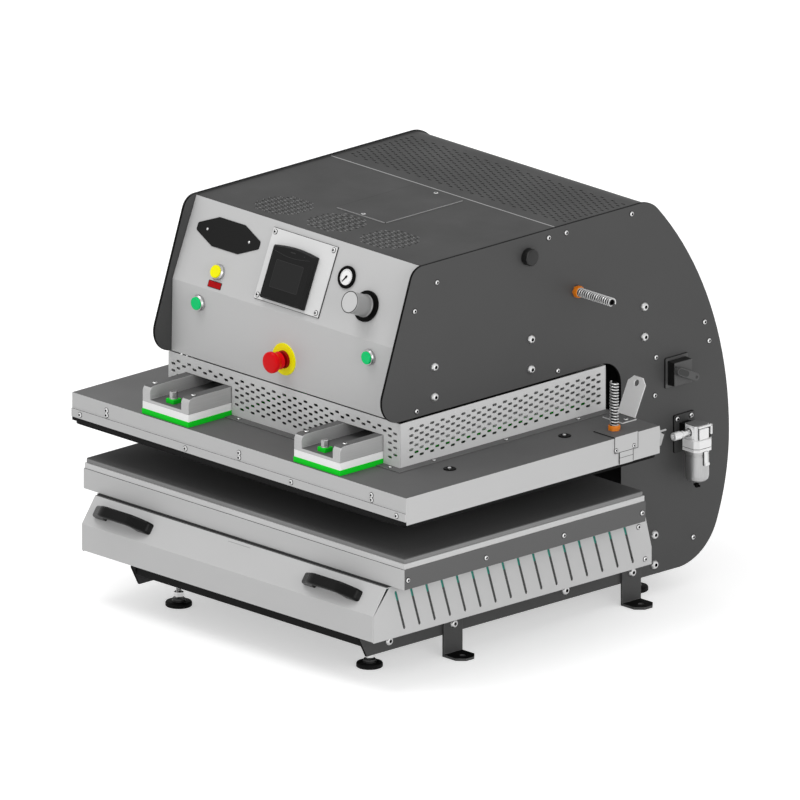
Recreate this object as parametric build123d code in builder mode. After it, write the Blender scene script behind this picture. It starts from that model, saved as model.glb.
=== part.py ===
from build123d import *
import math
import os

os.makedirs("parts", exist_ok=True)

# Slide-out heat press, in millimetres. +X is to the right, +Y to the back, +Z up.
# The origin is the middle of the four bench bracket holes, on the floor.

# Frame: two C shaped side plates with rails between them
plate_span = 605.0
plate_wall = 5.0
sheet = 2.0
slip = 0.3
hole_gap = 0.2
casing_front = -469.0
plate_bottom = 41.3
head_height = 286.3
arm_front = casing_front + 15.0
arm_front_low = casing_front + 33.0
arm_nose_rise = 35.2
arm_top = 176.0
column_front = casing_front + 670.0
column_foot_radius = 30.0
head_clearance = 33.3
throat_radius = 47.0
nose_foot = casing_front + 53.3
nose_lean = 18.85
nose_low_radius = 44.0
nose_top_radius = 30.0
back_centre_y = casing_front + 258.6
back_centre_z = 276.8
back_radius = 683.0
back_top_radius = 60.0
grille_columns = 10
grille_pitch_width = 55.8
grille_pitch_length = 27.0
grille_open_width = 30.0
grille_open_length = 12.5
grille_seam_margin = 27.0
grille_level_length = 160.0
grille_low_angle = 1.5
grille_top_angle = 40.5
heel_inset = 31.5
heel_z = 109.1
heel_foot_inset = 122.7

# Cross beams of the head, bolted through the plates in pairs
beam_y = [casing_front + 202.0, casing_front + 444.0, casing_front + 728.0]
beam_depth = 40.0
beam_height = 104.0
beam_rise = 58.35
beam_web = 8.0
beam_wall = 4.0
beam_bolt_spacing = 57.5
bolt_radius = 6.0
bolt_head_radius = 8.5
bolt_head_height = 6.0

# Base rails and the front apron
rail_y = [casing_front + 88.0, casing_front + 530.0, casing_front + 753.0]
rail_width = 44.0
rail_height = 60.0
rail_wall = 4.0
rail_bottom = 46.0
rail_bolt_z = 60.0
rear_rail_height = 92.0
rear_bolt_rise = 57.0
apron_y = casing_front + 23.0
apron_low = 62.0
apron_top = 92.0

# Bench brackets: steel angles bolted outside the plates
bracket_pitch_y = 447.0
bracket_width = 47.0
bracket_wall = 5.0
bracket_height = 86.0
bracket_foot = 50.0
bracket_chamfer = 14.0
bracket_hole_radius = 5.5
bracket_hole_out = 30.0
bracket_bolt_z = 60.0

# Levelling feet on studs
foot_x = 252.0
foot_radius = 24.5
foot_thickness = 9.0
foot_crown = 6.0
stud_radius = 5.0
stud_gap = 0.06
nut_width = 17.0
nut_height = 8.0

# Control fascia: a vertical lower part and a sloping upper part
fascia_low_y = casing_front + 112.5
fascia_bend_y = casing_front + 115.0
fascia_slope_height = 146.7
fascia_top_y = casing_front + 175.0
cover_sink = 2.7
cover_joint_y = casing_front + 513.0
vent_x = [-140.0, 0.0, 140.0]
vent_y = casing_front + 245.0
vent_radius = 53.0
vent_slot = 11.0
vent_slot_width = 4.0
vent_pitch_x = 21.0
vent_pitch_y = 10.5
hatch_half = 65.0
hatch_front = casing_front + 305.0
hatch_back = casing_front + 500.0
hatch_lap = 8.0
hatch_wall = 1.5
back_panel_gap = 8.0
back_panel_low = 108.0

# Push buttons, gauge, regulator and controller on the fascia
button_hole = 22.4
collar_radius = 15.0
collar_height = 8.0
collar_floor = 1.0
cap_radius = 12.0
cap_proud = 3.5
button_travel = 4.0
stem_radius = 8.0
fit_gap = 0.08
sleeve_depth = 30.0
sleeve_radius = 11.0
green_x = 225.0
green_drop = 29.6
yellow_x = -189.0
yellow_h = 36.0
estop_drop = 85.3
estop_disc_radius = 30.0
estop_disc_wall = 2.0
estop_collar_radius = 17.5
estop_collar_height = 5.0
estop_radius = 20.0
estop_waist_radius = 15.5
estop_proud = 38.0
estop_travel = 6.0
gauge_x = 126.0
gauge_h = 98.5
gauge_radius = 21.0
gauge_ring = 6.0
gauge_proud = 5.0
gauge_body_radius = 18.5
gauge_body_depth = 26.0
dial_wall = 1.0
needle_length = 14.0
needle_width = 2.2
needle_wall = 0.8
needle_angle = 235.0
arbor_radius = 1.0
regulator_x = 193.5
regulator_h = 59.0
regulator_ring_radius = 29.0
regulator_ring_height = 6.0
regulator_neck_radius = 15.0
regulator_depth = 55.0
regulator_body_radius = 24.0
knob_radius = 21.25
knob_length = 41.0
spindle_radius = 5.0
spindle_height = 24.0
panel_plate_half = 85.0
panel_plate_low = 11.0
panel_plate_high = 146.0
panel_plate_wall = 3.0
panel_screw_inset = 8.0
panel_screw_radius = 3.2
controller_left = -64.0
controller_right = 48.0
controller_low = 16.5
controller_high = 121.0
controller_corner = 8.0
controller_proud = 12.0
controller_depth = 40.0
controller_rim = 10.0
screen_sink = 1.2
nameplate_x = -190.0
nameplate_h = 105.0
nameplate_width = 164.0
nameplate_height = 55.0
nameplate_corner = 6.0
nameplate_wall = 1.5
tag_h = 12.0
tag_width = 34.0
tag_height = 13.0
tag_wall = 1.0

# Isolator switch, filter, side gland and cap on the right plate
isolator_y = casing_front + 807.5
isolator_z = 418.5
isolator_plate = 58.0
isolator_plate_wall = 3.0
isolator_block = 46.0
isolator_block_height = 18.0
isolator_hub_radius = 9.0
isolator_pin_radius = 4.0
handle_length = 58.0
handle_width = 15.0
handle_thickness = 11.0
handle_lean = -25.0
filter_y = casing_front + 826.0
filter_x_out = 36.5
filter_plate_half = 25.5
filter_plate_top = 334.0
filter_plate_low = 262.0
filter_plate_wall = 3.0
filter_top = 322.5
filter_neck_z = 295.0
filter_collar = 45.0
filter_collar_chamfer = 8.0
filter_cap = 36.0
filter_cap_chamfer = 6.0
bowl_top = 273.0
bowl_bottom = 212.0
bowl_radius = 22.0
bowl_round = 8.0
drain_radius = 4.0
drain_length = 12.0
port_radius = 8.0
port_length = 30.0
latch_width = 9.0
latch_length = 26.0
latch_wall = 4.0
gland_y = casing_front + 559.0
gland_rise = 153.6
gland_radius = 11.75
gland_height = 12.0
gland_cup = 7.0
gland_cup_gap = 0.7
gland_bore = 3.5
spring_outer = 9.15
spring_wire = 2.8
spring_pitch = 5.6
spring_turns = 15
spring_bend = 3.0
cap_y = casing_front + 436.0
cap_drop = 39.7
side_cap_radius = 16.0
side_cap_height = 15.0
side_cap_stem = 10.0

# Upper platen group
casing_half = 441.3
casing_depth = 636.0
casing_height = 53.0
casing_rise = 6.4
platen_inset = 8.0
pressed_gap = 0.4
platen_thickness = 25.0
strip_wall = 2.0
upper_strip_drop = 29.8
lower_strip_drop = 45.8
strip_screw_inset = 23.3
strip_screw_inner = 139.5
strip_mark_inset = 91.3
plug_inset = 74.3
plug_y = [casing_front + 180.0, casing_front + 468.0]
plug_radius = 12.0
green_slab = 10.0
white_slab = 13.7
press_beam_x = 200.1
press_beam_half = 60.6
press_beam_front = casing_front + 5.5
press_beam_back = casing_front + 622.0
press_beam_base = 6.0
press_bar_width = 19.5
press_bar_height = 31.0
press_bar_round = 12.0
slab_margin = 1.0
stop_block = 20.0
stop_block_height = 8.0
stop_block_y = casing_front + 26.0
hex_width = 13.0
hex_height = 14.0
guard_front = casing_front + 113.0
guard_back = casing_front + 629.0
guard_half = 305.5
guard_slip = 2.6
guard_flange = 18.0
guard_flange_wall = 2.0
guard_notch_gap = 0.6
press_travel = 64.0

# Cylinders and guides that push the platen down
cylinder_y = casing_front + 323.0
cylinder_radius = 58.0
cylinder_bore = 50.0
cylinder_rise = 19.6
cylinder_head = 15.0
cylinder_height = 116.0
rod_radius = 16.0
rod_gap = 0.1
piston_gap = 0.1
piston_height = 14.0
piston_room = 3.0
mount_plate_wall = 12.0
mount_plate_half = 88.0
guide_pitch = 160.0
guide_radius = 12.5
guide_gap = 0.05
bush_radius = 20.0
bush_height = 28.0
bush_wall = 3.5
bush_flange = 5.0
guide_stand = 10.0

# Control gear inside the column
gear_gap = 12.0
gear_low = 240.0
power_supply_size = (110.0, 55.0, 160.0)
manifold_size = (90.0, 48.0, 80.0)
valve_size = (14.0, 30.0, 66.0)
valve_count = 4

# Brackets on the upper casing
gland_cover_front = casing_front + 522.0
gland_cover_back = casing_front + 579.0
gland_cover_drop = 28.0
gland_tab_half = 16.5
gland_tab_drop = 24.0
gland_cover_width = 56.0
bracket_sheet = 2.5
platen_gland_inset = 33.7
platen_gland_y = casing_front + 553.5
platen_gland_height = 13.6
platen_spring_turns = 14
hanger_inset = 53.3
hanger_width = 53.0
hanger_front = casing_front + 593.0
hanger_back = casing_front + 629.0
hanger_tab = 46.0
hanger_length = 74.0
hanger_lean = 25.0
hanger_hole_radius = 6.0
rear_tab_width = 40.0
rear_tab_length = 26.0

# Drawer
drawer_half = 384.4
drawer_front = casing_front - 29.5
drawer_low = 98.0
drawer_bend_z = 151.0
drawer_slope_back = casing_front + 4.0
drawer_slope_top = 197.6
drawer_back_top = casing_front + 652.7
drawer_back_mid = casing_front + 669.5
drawer_back_mid_z = 131.0
slot_count = 16
slot_pitch = 38.2
slot_first_y = casing_front + 49.7
slot_low_z = 112.7
slot_high_z = 184.0
slot_lean = 21.6
slot_width = 5.5
tray_overhang = 39.6
tray_front = casing_front + 12.3
tray_back = casing_front + 616.8
tray_rise = 2.4
tray_height = 38.6
plate_thickness = 10.7
plate_inset = 1.5
pad_thickness = 9.3
pad_inset = 3.5
handle_x = (-290.0, 262.0)
handle_span = 148.0
handle_h = 28.0
handle_grip = 22.0
handle_proud = 28.0
handle_bar = 10.0
handle_foot = 34.0
handle_flat = 76.0
handle_inner_flat = 66.0
handle_end_height = 12.0
handle_end_run = 5.0
handle_bend = 40.0
handle_end_bend = 12.0
handle_inner_bend = 8.0

# Telescopic runners, three members on each side
runner_height = 76.0
runner_middle_z = 138.0
runner_wall = 2.5
runner_depth = 19.0
runner_gap = 0.3
runner_length = 600.0
runner_front = casing_front + 30.0
chassis_wall = 3.0
chassis_low = 104.0
cross_member_y = [casing_front + 40.0, casing_front + 320.0, casing_front + 590.0]
cross_member_width = 40.0
cross_member_height = 20.0

# Values worked out from the sizes above: the stack from the drawer up to the head
tray_half = drawer_half + tray_overhang
tray_low = drawer_slope_top + tray_rise
tray_top = tray_low + tray_height
plate_low = tray_top
pad_low = plate_low + plate_thickness
platen_bottom = pad_low + pad_thickness + press_travel + pressed_gap
casing_low = platen_bottom + casing_rise
casing_top = casing_low + casing_height
upper_strip_low = casing_top - upper_strip_drop
lower_strip_low = casing_top - lower_strip_drop
slab_low = casing_top
white_low = slab_low + green_slab
steel_low = white_low + white_slab
steel_top = steel_low + press_bar_height
head_bottom = steel_top + head_clearance
guard_top = head_bottom - guard_slip
beam_middle = head_bottom + beam_rise
cylinder_low = head_bottom + cylinder_rise
gland_z = head_bottom + gland_rise
plate_top = head_bottom + head_height
cap_z = plate_top - cap_drop
fascia_top_z = plate_top - cover_sink
fascia_bend_z = fascia_top_z - fascia_slope_height
green_z = fascia_bend_z - green_drop
estop_z = fascia_bend_z - estop_drop

# Places across the upper casing
plug_x = casing_half - plug_inset
strip_screw_outer = casing_half - strip_screw_inset
strip_screw_x = [-strip_screw_outer, -strip_screw_inner, strip_screw_inner, strip_screw_outer]
strip_mark_x = [strip_mark_inset - casing_half, 0.0, casing_half - strip_mark_inset]
platen_gland_x = casing_half - platen_gland_inset
hanger_right = casing_half - hanger_inset
hanger_left = hanger_right - hanger_width

# Places on the plates, the slopes and the back
half = plate_span / 2
inner = half - plate_wall
between = inner - slip
nose_tan = math.tan(math.radians(nose_lean))
nose_head = nose_foot + (plate_top - head_bottom) * nose_tan
back_equator_y = back_centre_y + back_radius
heel_y = back_equator_y - heel_inset
heel_foot_y = back_equator_y - heel_foot_inset
slope_run = fascia_top_y - fascia_bend_y
slope_rise = fascia_top_z - fascia_bend_z
slope_length = math.hypot(slope_run, slope_rise)
slope_normal = (0, -slope_rise / slope_length, slope_run / slope_length)
fascia_slope = Plane(origin=(0, fascia_bend_y, fascia_bend_z), x_dir=(1, 0, 0), z_dir=slope_normal)
drawer_run = drawer_slope_back - drawer_front
drawer_rise = drawer_slope_top - drawer_bend_z
drawer_slope_length = math.hypot(drawer_run, drawer_rise)
drawer_normal = (0, -drawer_rise / drawer_slope_length, drawer_run / drawer_slope_length)
drawer_slope = Plane(origin=(0, drawer_front, drawer_bend_z), x_dir=(1, 0, 0), z_dir=drawer_normal)
casing_back = casing_front + casing_depth
center_min = (Align.CENTER, Align.CENTER, Align.MIN)


def fascia_y(z):
    """Front face of the fascia's lower part at a height."""
    share = (z - head_bottom) / (fascia_bend_z - head_bottom)
    return fascia_low_y + (fascia_bend_y - fascia_low_y) * share


def fascia_front(x, z):
    """A plane on the fascia's lower part that looks to the front."""
    tilt = (0, head_bottom - fascia_bend_z, fascia_bend_y - fascia_low_y)
    return Plane(origin=(x, fascia_y(z), z), x_dir=(1, 0, 0), z_dir=tilt)


def on_slope(x, h):
    """A plane on the fascia's slope, h up from the bend."""
    return Plane(origin=fascia_slope.from_local_coords((x, h, 0)), x_dir=(1, 0, 0), z_dir=slope_normal)


def block(x0, x1, y0, y1, z0, z1, mode=Mode.ADD):
    """A box between two corners."""
    with Locations(((x0 + x1) / 2, (y0 + y1) / 2, (z0 + z1) / 2)):
        Box(x1 - x0, y1 - y0, z1 - z0, mode=mode)


def rod_x(x0, x1, y, z, radius, mode=Mode.ADD):
    """A round bar or hole along X."""
    with Locations(Plane(origin=(x0, y, z), z_dir=(1, 0, 0))):
        Cylinder(radius, x1 - x0, align=center_min, mode=mode)


def rod_z(x, y, z0, z1, radius, mode=Mode.ADD):
    """A round bar or hole along Z."""
    with Locations((x, y, z0)):
        Cylinder(radius, z1 - z0, align=center_min, mode=mode)


def rod_on(plane, low, high, radius, mode=Mode.ADD):
    """A round bar or hole along a plane's normal."""
    with Locations(plane.offset(low)):
        Cylinder(radius, high - low, align=center_min, mode=mode)


def save(builder, name):
    """Label a finished piece and write it."""
    builder.part.label = name
    export_step(builder.part, "parts/" + name + ".step")


# Side plates

frame_bolt_spots = []
for y in beam_y:
    frame_bolt_spots.append((y, beam_middle - beam_bolt_spacing / 2))
    frame_bolt_spots.append((y, beam_middle + beam_bolt_spacing / 2))
for y in rail_y:
    frame_bolt_spots.append((y, rail_bolt_z))
frame_bolt_spots.append((rail_y[2], rail_bolt_z + rear_bolt_rise))
bench_bolt_spots = [(-bracket_pitch_y / 2, bracket_bolt_z), (bracket_pitch_y / 2, bracket_bolt_z)]
screw_spots = [
    (casing_front + 209, plate_top - 39.7), (casing_front + 153, plate_top - 82.7),
    (casing_front + 489, plate_top - 15.7), (casing_front + 533, plate_top - 15.7),
    (casing_front + 697, plate_top - 15.7), (casing_front + 158, head_bottom + 11.6),
    (casing_front + 512, head_bottom + 11.6), (casing_front + 880, 495), (casing_front + 891, 457),
    (casing_front + 758, 454), (casing_front + 755, 382), (casing_front + 851, 91),
]
screw_radius = 2.5
screw_head_radius = 4.6
screw_head_height = 2.6


def back_profile(inset):
    """The curved back edge, moved inwards, from the top to the heel's foot."""
    radius = back_radius - inset
    top = plate_top - inset
    sweep_angle = math.degrees(math.asin((top - back_centre_z) / radius))
    bend = CenterArc((back_centre_y, back_centre_z), radius, 0, sweep_angle)
    lower = TangentArc(bend @ 0, (heel_y - inset, heel_z + inset / 4), tangent=(0, -1))
    foot = TangentArc(lower @ 1, (heel_foot_y, plate_bottom + inset), tangent=lower % 1)
    return bend @ 1, foot @ 1


for side_name, x_low in (("left_side_plate", -half), ("right_side_plate", inner)):
    with BuildPart() as side_plate:
        with BuildSketch(Plane.YZ.offset(x_low)) as outline:
            with BuildLine():
                back_top, back_foot = back_profile(0)
                Polyline(
                    back_top, (nose_head, plate_top), (nose_foot, head_bottom),
                    (column_front, head_bottom), (column_front, arm_top), (arm_front, arm_top),
                    (arm_front, plate_bottom + arm_nose_rise), (arm_front_low, plate_bottom), back_foot,
                )
            make_face()
            for y, z, radius in (
                (back_top.X, back_top.Y, back_top_radius),
                (nose_head, plate_top, nose_top_radius),
                (nose_foot, head_bottom, nose_low_radius),
                (column_front, head_bottom, throat_radius),
                (column_front, arm_top, column_foot_radius),
            ):
                fillet(outline.vertices().sort_by_distance((y, z, 0))[0], radius)
        extrude(amount=plate_wall)
        for y, z in frame_bolt_spots + bench_bolt_spots:
            rod_x(x_low, x_low + plate_wall, y, z, bolt_radius + hole_gap, Mode.SUBTRACT)
        for y, z in screw_spots:
            rod_x(x_low, x_low + plate_wall, y, z, screw_radius + hole_gap, Mode.SUBTRACT)
        if side_name == "right_side_plate":
            rod_x(x_low, x_low + plate_wall, cap_y, cap_z, side_cap_stem + hole_gap, Mode.SUBTRACT)
            rod_x(x_low, x_low + plate_wall, gland_y, gland_z, gland_bore, Mode.SUBTRACT)
    save(side_plate, side_name)

# Cross beams of the head are channels with closed ends, the front one open to the front

with BuildPart() as cross_rails:
    for y, opening in zip(beam_y, (-1, 1, 1)):
        low = beam_middle - beam_height / 2
        block(-inner, inner, y - beam_depth / 2, y + beam_depth / 2, low, low + beam_height)
        pocket_y = y + opening * beam_wall / 2
        pocket_half = beam_depth / 2 - beam_wall / 2
        block(-inner + beam_web, inner - beam_web, pocket_y - pocket_half, pocket_y + pocket_half,
              low + beam_wall, low + beam_height - beam_wall, Mode.SUBTRACT)
        for x in (-inner, inner - beam_web):
            for rise in (-beam_bolt_spacing / 2, beam_bolt_spacing / 2):
                rod_x(x, x + beam_web, y, beam_middle + rise, bolt_radius + hole_gap, Mode.SUBTRACT)

    # Base rails carry the levelling feet, and a thin apron closes the front
    for index, y in enumerate(rail_y):
        height = rear_rail_height if index == 2 else rail_height
        block(-inner, inner, y - rail_width / 2, y + rail_width / 2, rail_bottom, rail_bottom + height)
        block(-inner + beam_web, inner - beam_web, y - rail_width / 2 + rail_wall,
              y + rail_width / 2 - rail_wall, rail_bottom + rail_wall, rail_bottom + height, Mode.SUBTRACT)
        rises = (0, rear_bolt_rise) if index == 2 else (0,)
        for x in (-inner, inner - beam_web):
            for rise in rises:
                rod_x(x, x + beam_web, y, rail_bolt_z + rise, bolt_radius + hole_gap, Mode.SUBTRACT)
    for x in (-foot_x, foot_x):
        for y in (rail_y[0], rail_y[2]):
            rod_z(x, y, rail_bottom, rail_bottom + rail_wall, stud_radius + stud_gap, Mode.SUBTRACT)
    block(-between, between, apron_y, apron_y + sheet, apron_low, apron_top)
    block(-between, between, apron_y + sheet, rail_y[0] - rail_width / 2, apron_top - sheet, apron_top)
save(cross_rails, "cross_rails")

# Panel that closes the column behind the platens

with BuildPart() as throat_back_panel:
    panel_y = column_front + back_panel_gap
    block(-between, between, panel_y, panel_y + sheet, back_panel_low, head_bottom)
    block(-between, between, panel_y + sheet, panel_y + 20 * sheet, head_bottom - sheet, head_bottom)
    block(-between, between, panel_y + sheet, panel_y + 8 * sheet, back_panel_low, back_panel_low + sheet)
save(throat_back_panel, "throat_back_panel")

# Control fascia

slope_holes = [
    (yellow_x, yellow_h, button_hole / 2), (gauge_x, gauge_h, gauge_body_radius + hole_gap),
    (regulator_x, regulator_h, regulator_neck_radius + hole_gap),
]
front_holes = [(-green_x, green_z), (green_x, green_z), (0, estop_z)]

with BuildPart() as control_fascia:
    with BuildSketch(Plane.YZ.offset(-between)):
        with BuildLine():
            Polyline(
                (fascia_low_y, head_bottom), (fascia_bend_y, fascia_bend_z), (fascia_top_y, fascia_top_z),
                (fascia_top_y + sheet, fascia_top_z), (fascia_bend_y + sheet, fascia_bend_z),
                (fascia_low_y + sheet, head_bottom), close=True,
            )
        make_face()
    extrude(amount=2 * between)
    for x, h, radius in slope_holes:
        rod_on(on_slope(x, h), -3 * sheet, 3 * sheet, radius, Mode.SUBTRACT)
    for x, z in front_holes:
        rod_on(fascia_front(x, z), -3 * sheet, 3 * sheet, button_hole / 2, Mode.SUBTRACT)
    with Locations(on_slope((controller_left + controller_right) / 2, (controller_low + controller_high) / 2)):
        Box(controller_right - controller_left - 2 * controller_rim + hole_gap,
            controller_high - controller_low - 2 * controller_rim + hole_gap, 6 * sheet, mode=Mode.SUBTRACT)
save(control_fascia, "control_fascia")

# Top cover with three round vent patterns and the hatch opening

with BuildPart() as top_cover:
    cover_front = fascia_top_y + sheet + slip
    block(-between, between, cover_front, cover_joint_y - slip, fascia_top_z - sheet, fascia_top_z)
    block(-hatch_half + hatch_lap, hatch_half - hatch_lap, hatch_front + hatch_lap, hatch_back - hatch_lap,
          fascia_top_z - sheet, fascia_top_z, Mode.SUBTRACT)
    with BuildSketch(Plane.XY.offset(fascia_top_z)):
        for centre in vent_x:
            rows = int(vent_radius // vent_pitch_y)
            for row in range(-rows, rows + 1):
                reach = math.sqrt(vent_radius ** 2 - (row * vent_pitch_y) ** 2) - vent_slot / 2
                shift = vent_pitch_x / 2 if row % 2 else 0
                columns = int(max(0, reach + shift) // vent_pitch_x) + 1
                spots = [column * vent_pitch_x + shift for column in range(-columns - 1, columns + 1)]
                spots = [x for x in spots if abs(x) <= reach]
                with Locations([(centre + x, vent_y + row * vent_pitch_y) for x in spots]):
                    SlotOverall(vent_slot, vent_slot_width)
    extrude(amount=-sheet, mode=Mode.SUBTRACT)
save(top_cover, "top_cover")

with BuildPart() as access_hatch:
    block(-hatch_half, hatch_half, hatch_front, hatch_back, fascia_top_z, fascia_top_z + hatch_wall)
    for y in (hatch_front + hatch_lap / 2 + screw_radius, hatch_back - hatch_lap / 2 - screw_radius):
        screw_top = fascia_top_z + hatch_wall + screw_head_height / 2
        rod_z(0, y, fascia_top_z + hatch_wall, screw_top, screw_head_radius)
save(access_hatch, "access_hatch")

# Rear cover follows the plates' back edge

with BuildPart() as rear_cover:
    with BuildSketch(Plane.YZ.offset(-between)) as band:
        with BuildLine():
            outer_top, outer_foot = back_profile(plate_top - fascia_top_z)
            Line(outer_top, (cover_joint_y, fascia_top_z))
            Line((cover_joint_y, fascia_top_z), (cover_joint_y, fascia_top_z - sheet))
            inner_top, inner_foot = back_profile(plate_top - fascia_top_z + sheet)
            Line(inner_top, (cover_joint_y, fascia_top_z - sheet))
            Line(outer_foot, inner_foot)
        make_face()
        for point, radius in ((outer_top, back_top_radius), (inner_top, back_top_radius - sheet)):
            fillet(band.vertices().sort_by_distance((point.X, point.Y, 0))[0], radius)
    extrude(amount=2 * between)
    level_rows = int((grille_level_length - grille_open_length) // grille_pitch_length) + 1
    with BuildSketch(Plane.XY.offset(fascia_top_z)):
        level_middle = cover_joint_y + grille_seam_margin + grille_level_length / 2
        with Locations((0, level_middle)):
            with GridLocations(grille_pitch_width, grille_pitch_length, grille_columns, level_rows):
                Rectangle(grille_open_width, grille_open_length)
    extrude(amount=-sheet, mode=Mode.SUBTRACT)
    row_angle = math.degrees(grille_pitch_length / back_radius)
    for row in range(int((grille_top_angle - grille_low_angle) // row_angle) + 1):
        angle = math.radians(grille_low_angle + row * row_angle)
        out = Vector(0, math.cos(angle), math.sin(angle))
        centre = Vector(0, back_centre_y, back_centre_z) + out * back_radius
        with Locations(Plane(origin=centre, x_dir=(1, 0, 0), z_dir=out)):
            with GridLocations(grille_pitch_width, 1, grille_columns, 1):
                Box(grille_open_width, grille_open_length, 4 * sheet + cover_sink, mode=Mode.SUBTRACT)
save(rear_cover, "rear_cover")

# Bench brackets

with BuildPart() as bench_brackets:
    for side in (-1, 1):
        for y in (-bracket_pitch_y / 2, bracket_pitch_y / 2):
            wall_x = sorted((side * half, side * (half + bracket_wall)))
            foot = sorted((side * half, side * (half + bracket_foot)))
            block(*wall_x, y - bracket_width / 2, y + bracket_width / 2, 0, bracket_height)
            block(*foot, y - bracket_width / 2, y + bracket_width / 2, 0, bracket_wall)
            rod_z(side * (half + bracket_hole_out), y, 0, bracket_wall, bracket_hole_radius, Mode.SUBTRACT)
            rod_x(*wall_x, y, bracket_bolt_z, bolt_radius + hole_gap, Mode.SUBTRACT)
    outer_edges = bench_brackets.edges().filter_by(Axis.Z)
    tips = [edge for edge in outer_edges if abs(edge.center().X) > half + bracket_foot - 1]
    chamfer(tips, bracket_chamfer)
save(bench_brackets, "bench_brackets")

# Frame bolts: domed heads outside the plates, shanks through plate and beam end

with BuildPart() as frame_screws:
    for side in (-1, 1):
        for spots, seat_x in ((frame_bolt_spots, half), (bench_bolt_spots, half + bracket_wall)):
            reach = seat_x - (inner - beam_web) if spots is frame_bolt_spots else seat_x - inner
            for y, z in spots:
                with BuildSketch(Plane(origin=(side * seat_x, y, z), x_dir=(0, 1, 0), z_dir=(side, 0, 0))):
                    Circle(bolt_radius)
                extrude(amount=-reach)
                with BuildSketch(Plane(origin=(side * seat_x, y, z), x_dir=(0, 1, 0), z_dir=(side, 0, 0))):
                    Circle(bolt_head_radius)
                extrude(amount=bolt_head_height)
    rims = [
        edge for edge in frame_screws.edges().filter_by(GeomType.CIRCLE)
        if abs(edge.radius - bolt_head_radius) < 0.01
        and min(abs(abs(edge.center().X) - half - bolt_head_height),
                abs(abs(edge.center().X) - half - bracket_wall - bolt_head_height)) < 0.01
    ]
    fillet(rims, bolt_head_height * 0.6)
    for side in (-1, 1):
        for y, z in screw_spots:
            head = Plane(origin=(side * half, y, z), x_dir=(0, 1, 0), z_dir=(side, 0, 0))
            rod_on(head, -plate_wall, screw_head_height, screw_radius)
            rod_on(head, 0, screw_head_height, screw_head_radius)
save(frame_screws, "frame_screws")

# Blank nameplate with two rivets, and the blank red tag

with BuildPart() as nameplate_blank:
    with BuildSketch(on_slope(nameplate_x, nameplate_h)):
        RectangleRounded(nameplate_width, nameplate_height, nameplate_corner)
    extrude(amount=nameplate_wall)
    for side in (-1, 1):
        rivet = on_slope(nameplate_x + side * (nameplate_width / 2 - nameplate_corner), nameplate_h)
        rod_on(rivet, nameplate_wall, 2 * nameplate_wall, screw_radius)
    with BuildSketch(on_slope(nameplate_x, tag_h)):
        RectangleRounded(tag_width, tag_height, tag_wall)
    extrude(amount=tag_wall)
save(nameplate_blank, "nameplate_blank")

# Controller plate and touch controller

controller_x = (controller_left + controller_right) / 2
controller_h = (controller_low + controller_high) / 2
controller_width = controller_right - controller_left
controller_height = controller_high - controller_low

with BuildPart() as controller_plate:
    plate_h = (panel_plate_low + panel_plate_high) / 2
    with BuildSketch(on_slope(0, plate_h)):
        Rectangle(2 * panel_plate_half, panel_plate_high - panel_plate_low)
    extrude(amount=panel_plate_wall)
    for x in (-panel_plate_half + panel_screw_inset, panel_plate_half - panel_screw_inset):
        for h in (panel_plate_low + panel_screw_inset, panel_plate_high - panel_screw_inset):
            screw_top = panel_plate_wall + screw_head_height / 2
            rod_on(on_slope(x, h), panel_plate_wall, screw_top, panel_screw_radius)
    with Locations(on_slope(controller_x, controller_h)):
        Box(controller_width - 2 * controller_rim + hole_gap, controller_height - 2 * controller_rim + hole_gap,
            4 * panel_plate_wall, mode=Mode.SUBTRACT)
save(controller_plate, "controller_plate")

with BuildPart() as touch_controller:
    controller_face = on_slope(controller_x, controller_h).offset(panel_plate_wall)
    with BuildSketch(controller_face):
        RectangleRounded(controller_width, controller_height, controller_corner)
    extrude(amount=controller_proud)
    with BuildSketch(controller_face):
        Rectangle(controller_width - 2 * controller_rim, controller_height - 2 * controller_rim)
    extrude(amount=-controller_depth)
    with BuildSketch(controller_face.offset(controller_proud)):
        RectangleRounded(controller_width - 2 * controller_rim, controller_height - 2 * controller_rim,
                         controller_corner / 2)
    extrude(amount=-screen_sink, mode=Mode.SUBTRACT)
save(touch_controller, "touch_controller")

# Push buttons: fixed collars with sleeves through the panel, and caps that travel in them

button_places = {
    "yellow_button": on_slope(yellow_x, yellow_h),
    "green_button_left": fascia_front(-green_x, green_z),
    "green_button_right": fascia_front(green_x, green_z),
}
estop_place = fascia_front(0, estop_z)

with BuildPart() as button_collars:
    for place in button_places.values():
        rod_on(place, 0, collar_height, collar_radius)
        rod_on(place, -sleeve_depth, 0, sleeve_radius)
        rod_on(place, collar_floor, collar_height, cap_radius + 2 * fit_gap, Mode.SUBTRACT)
        rod_on(place, -sleeve_depth, collar_floor, stem_radius + fit_gap, Mode.SUBTRACT)
    rod_on(estop_place, estop_disc_wall, estop_disc_wall + estop_collar_height, estop_collar_radius)
    rod_on(estop_place, -sleeve_depth, estop_disc_wall, sleeve_radius)
    rod_on(estop_place, -sleeve_depth, estop_disc_wall + estop_collar_height, stem_radius + fit_gap,
           Mode.SUBTRACT)
save(button_collars, "button_collars")

for button_name, place in button_places.items():
    with BuildPart() as push_button:
        cap_low = collar_floor + button_travel + 0.5
        rod_on(place, cap_low, collar_height + cap_proud, cap_radius)
        rod_on(place, -sleeve_depth + 2 * button_travel, cap_low, stem_radius)
        fillet(push_button.edges().filter_by(GeomType.CIRCLE).sort_by(Axis(place.origin, place.z_dir))[-1], 1.2)
    save(push_button, button_name)

with BuildPart() as estop_disc:
    rod_on(estop_place, 0, estop_disc_wall, estop_disc_radius)
    rod_on(estop_place, 0, estop_disc_wall, sleeve_radius + hole_gap, Mode.SUBTRACT)
save(estop_disc, "estop_disc")

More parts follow.
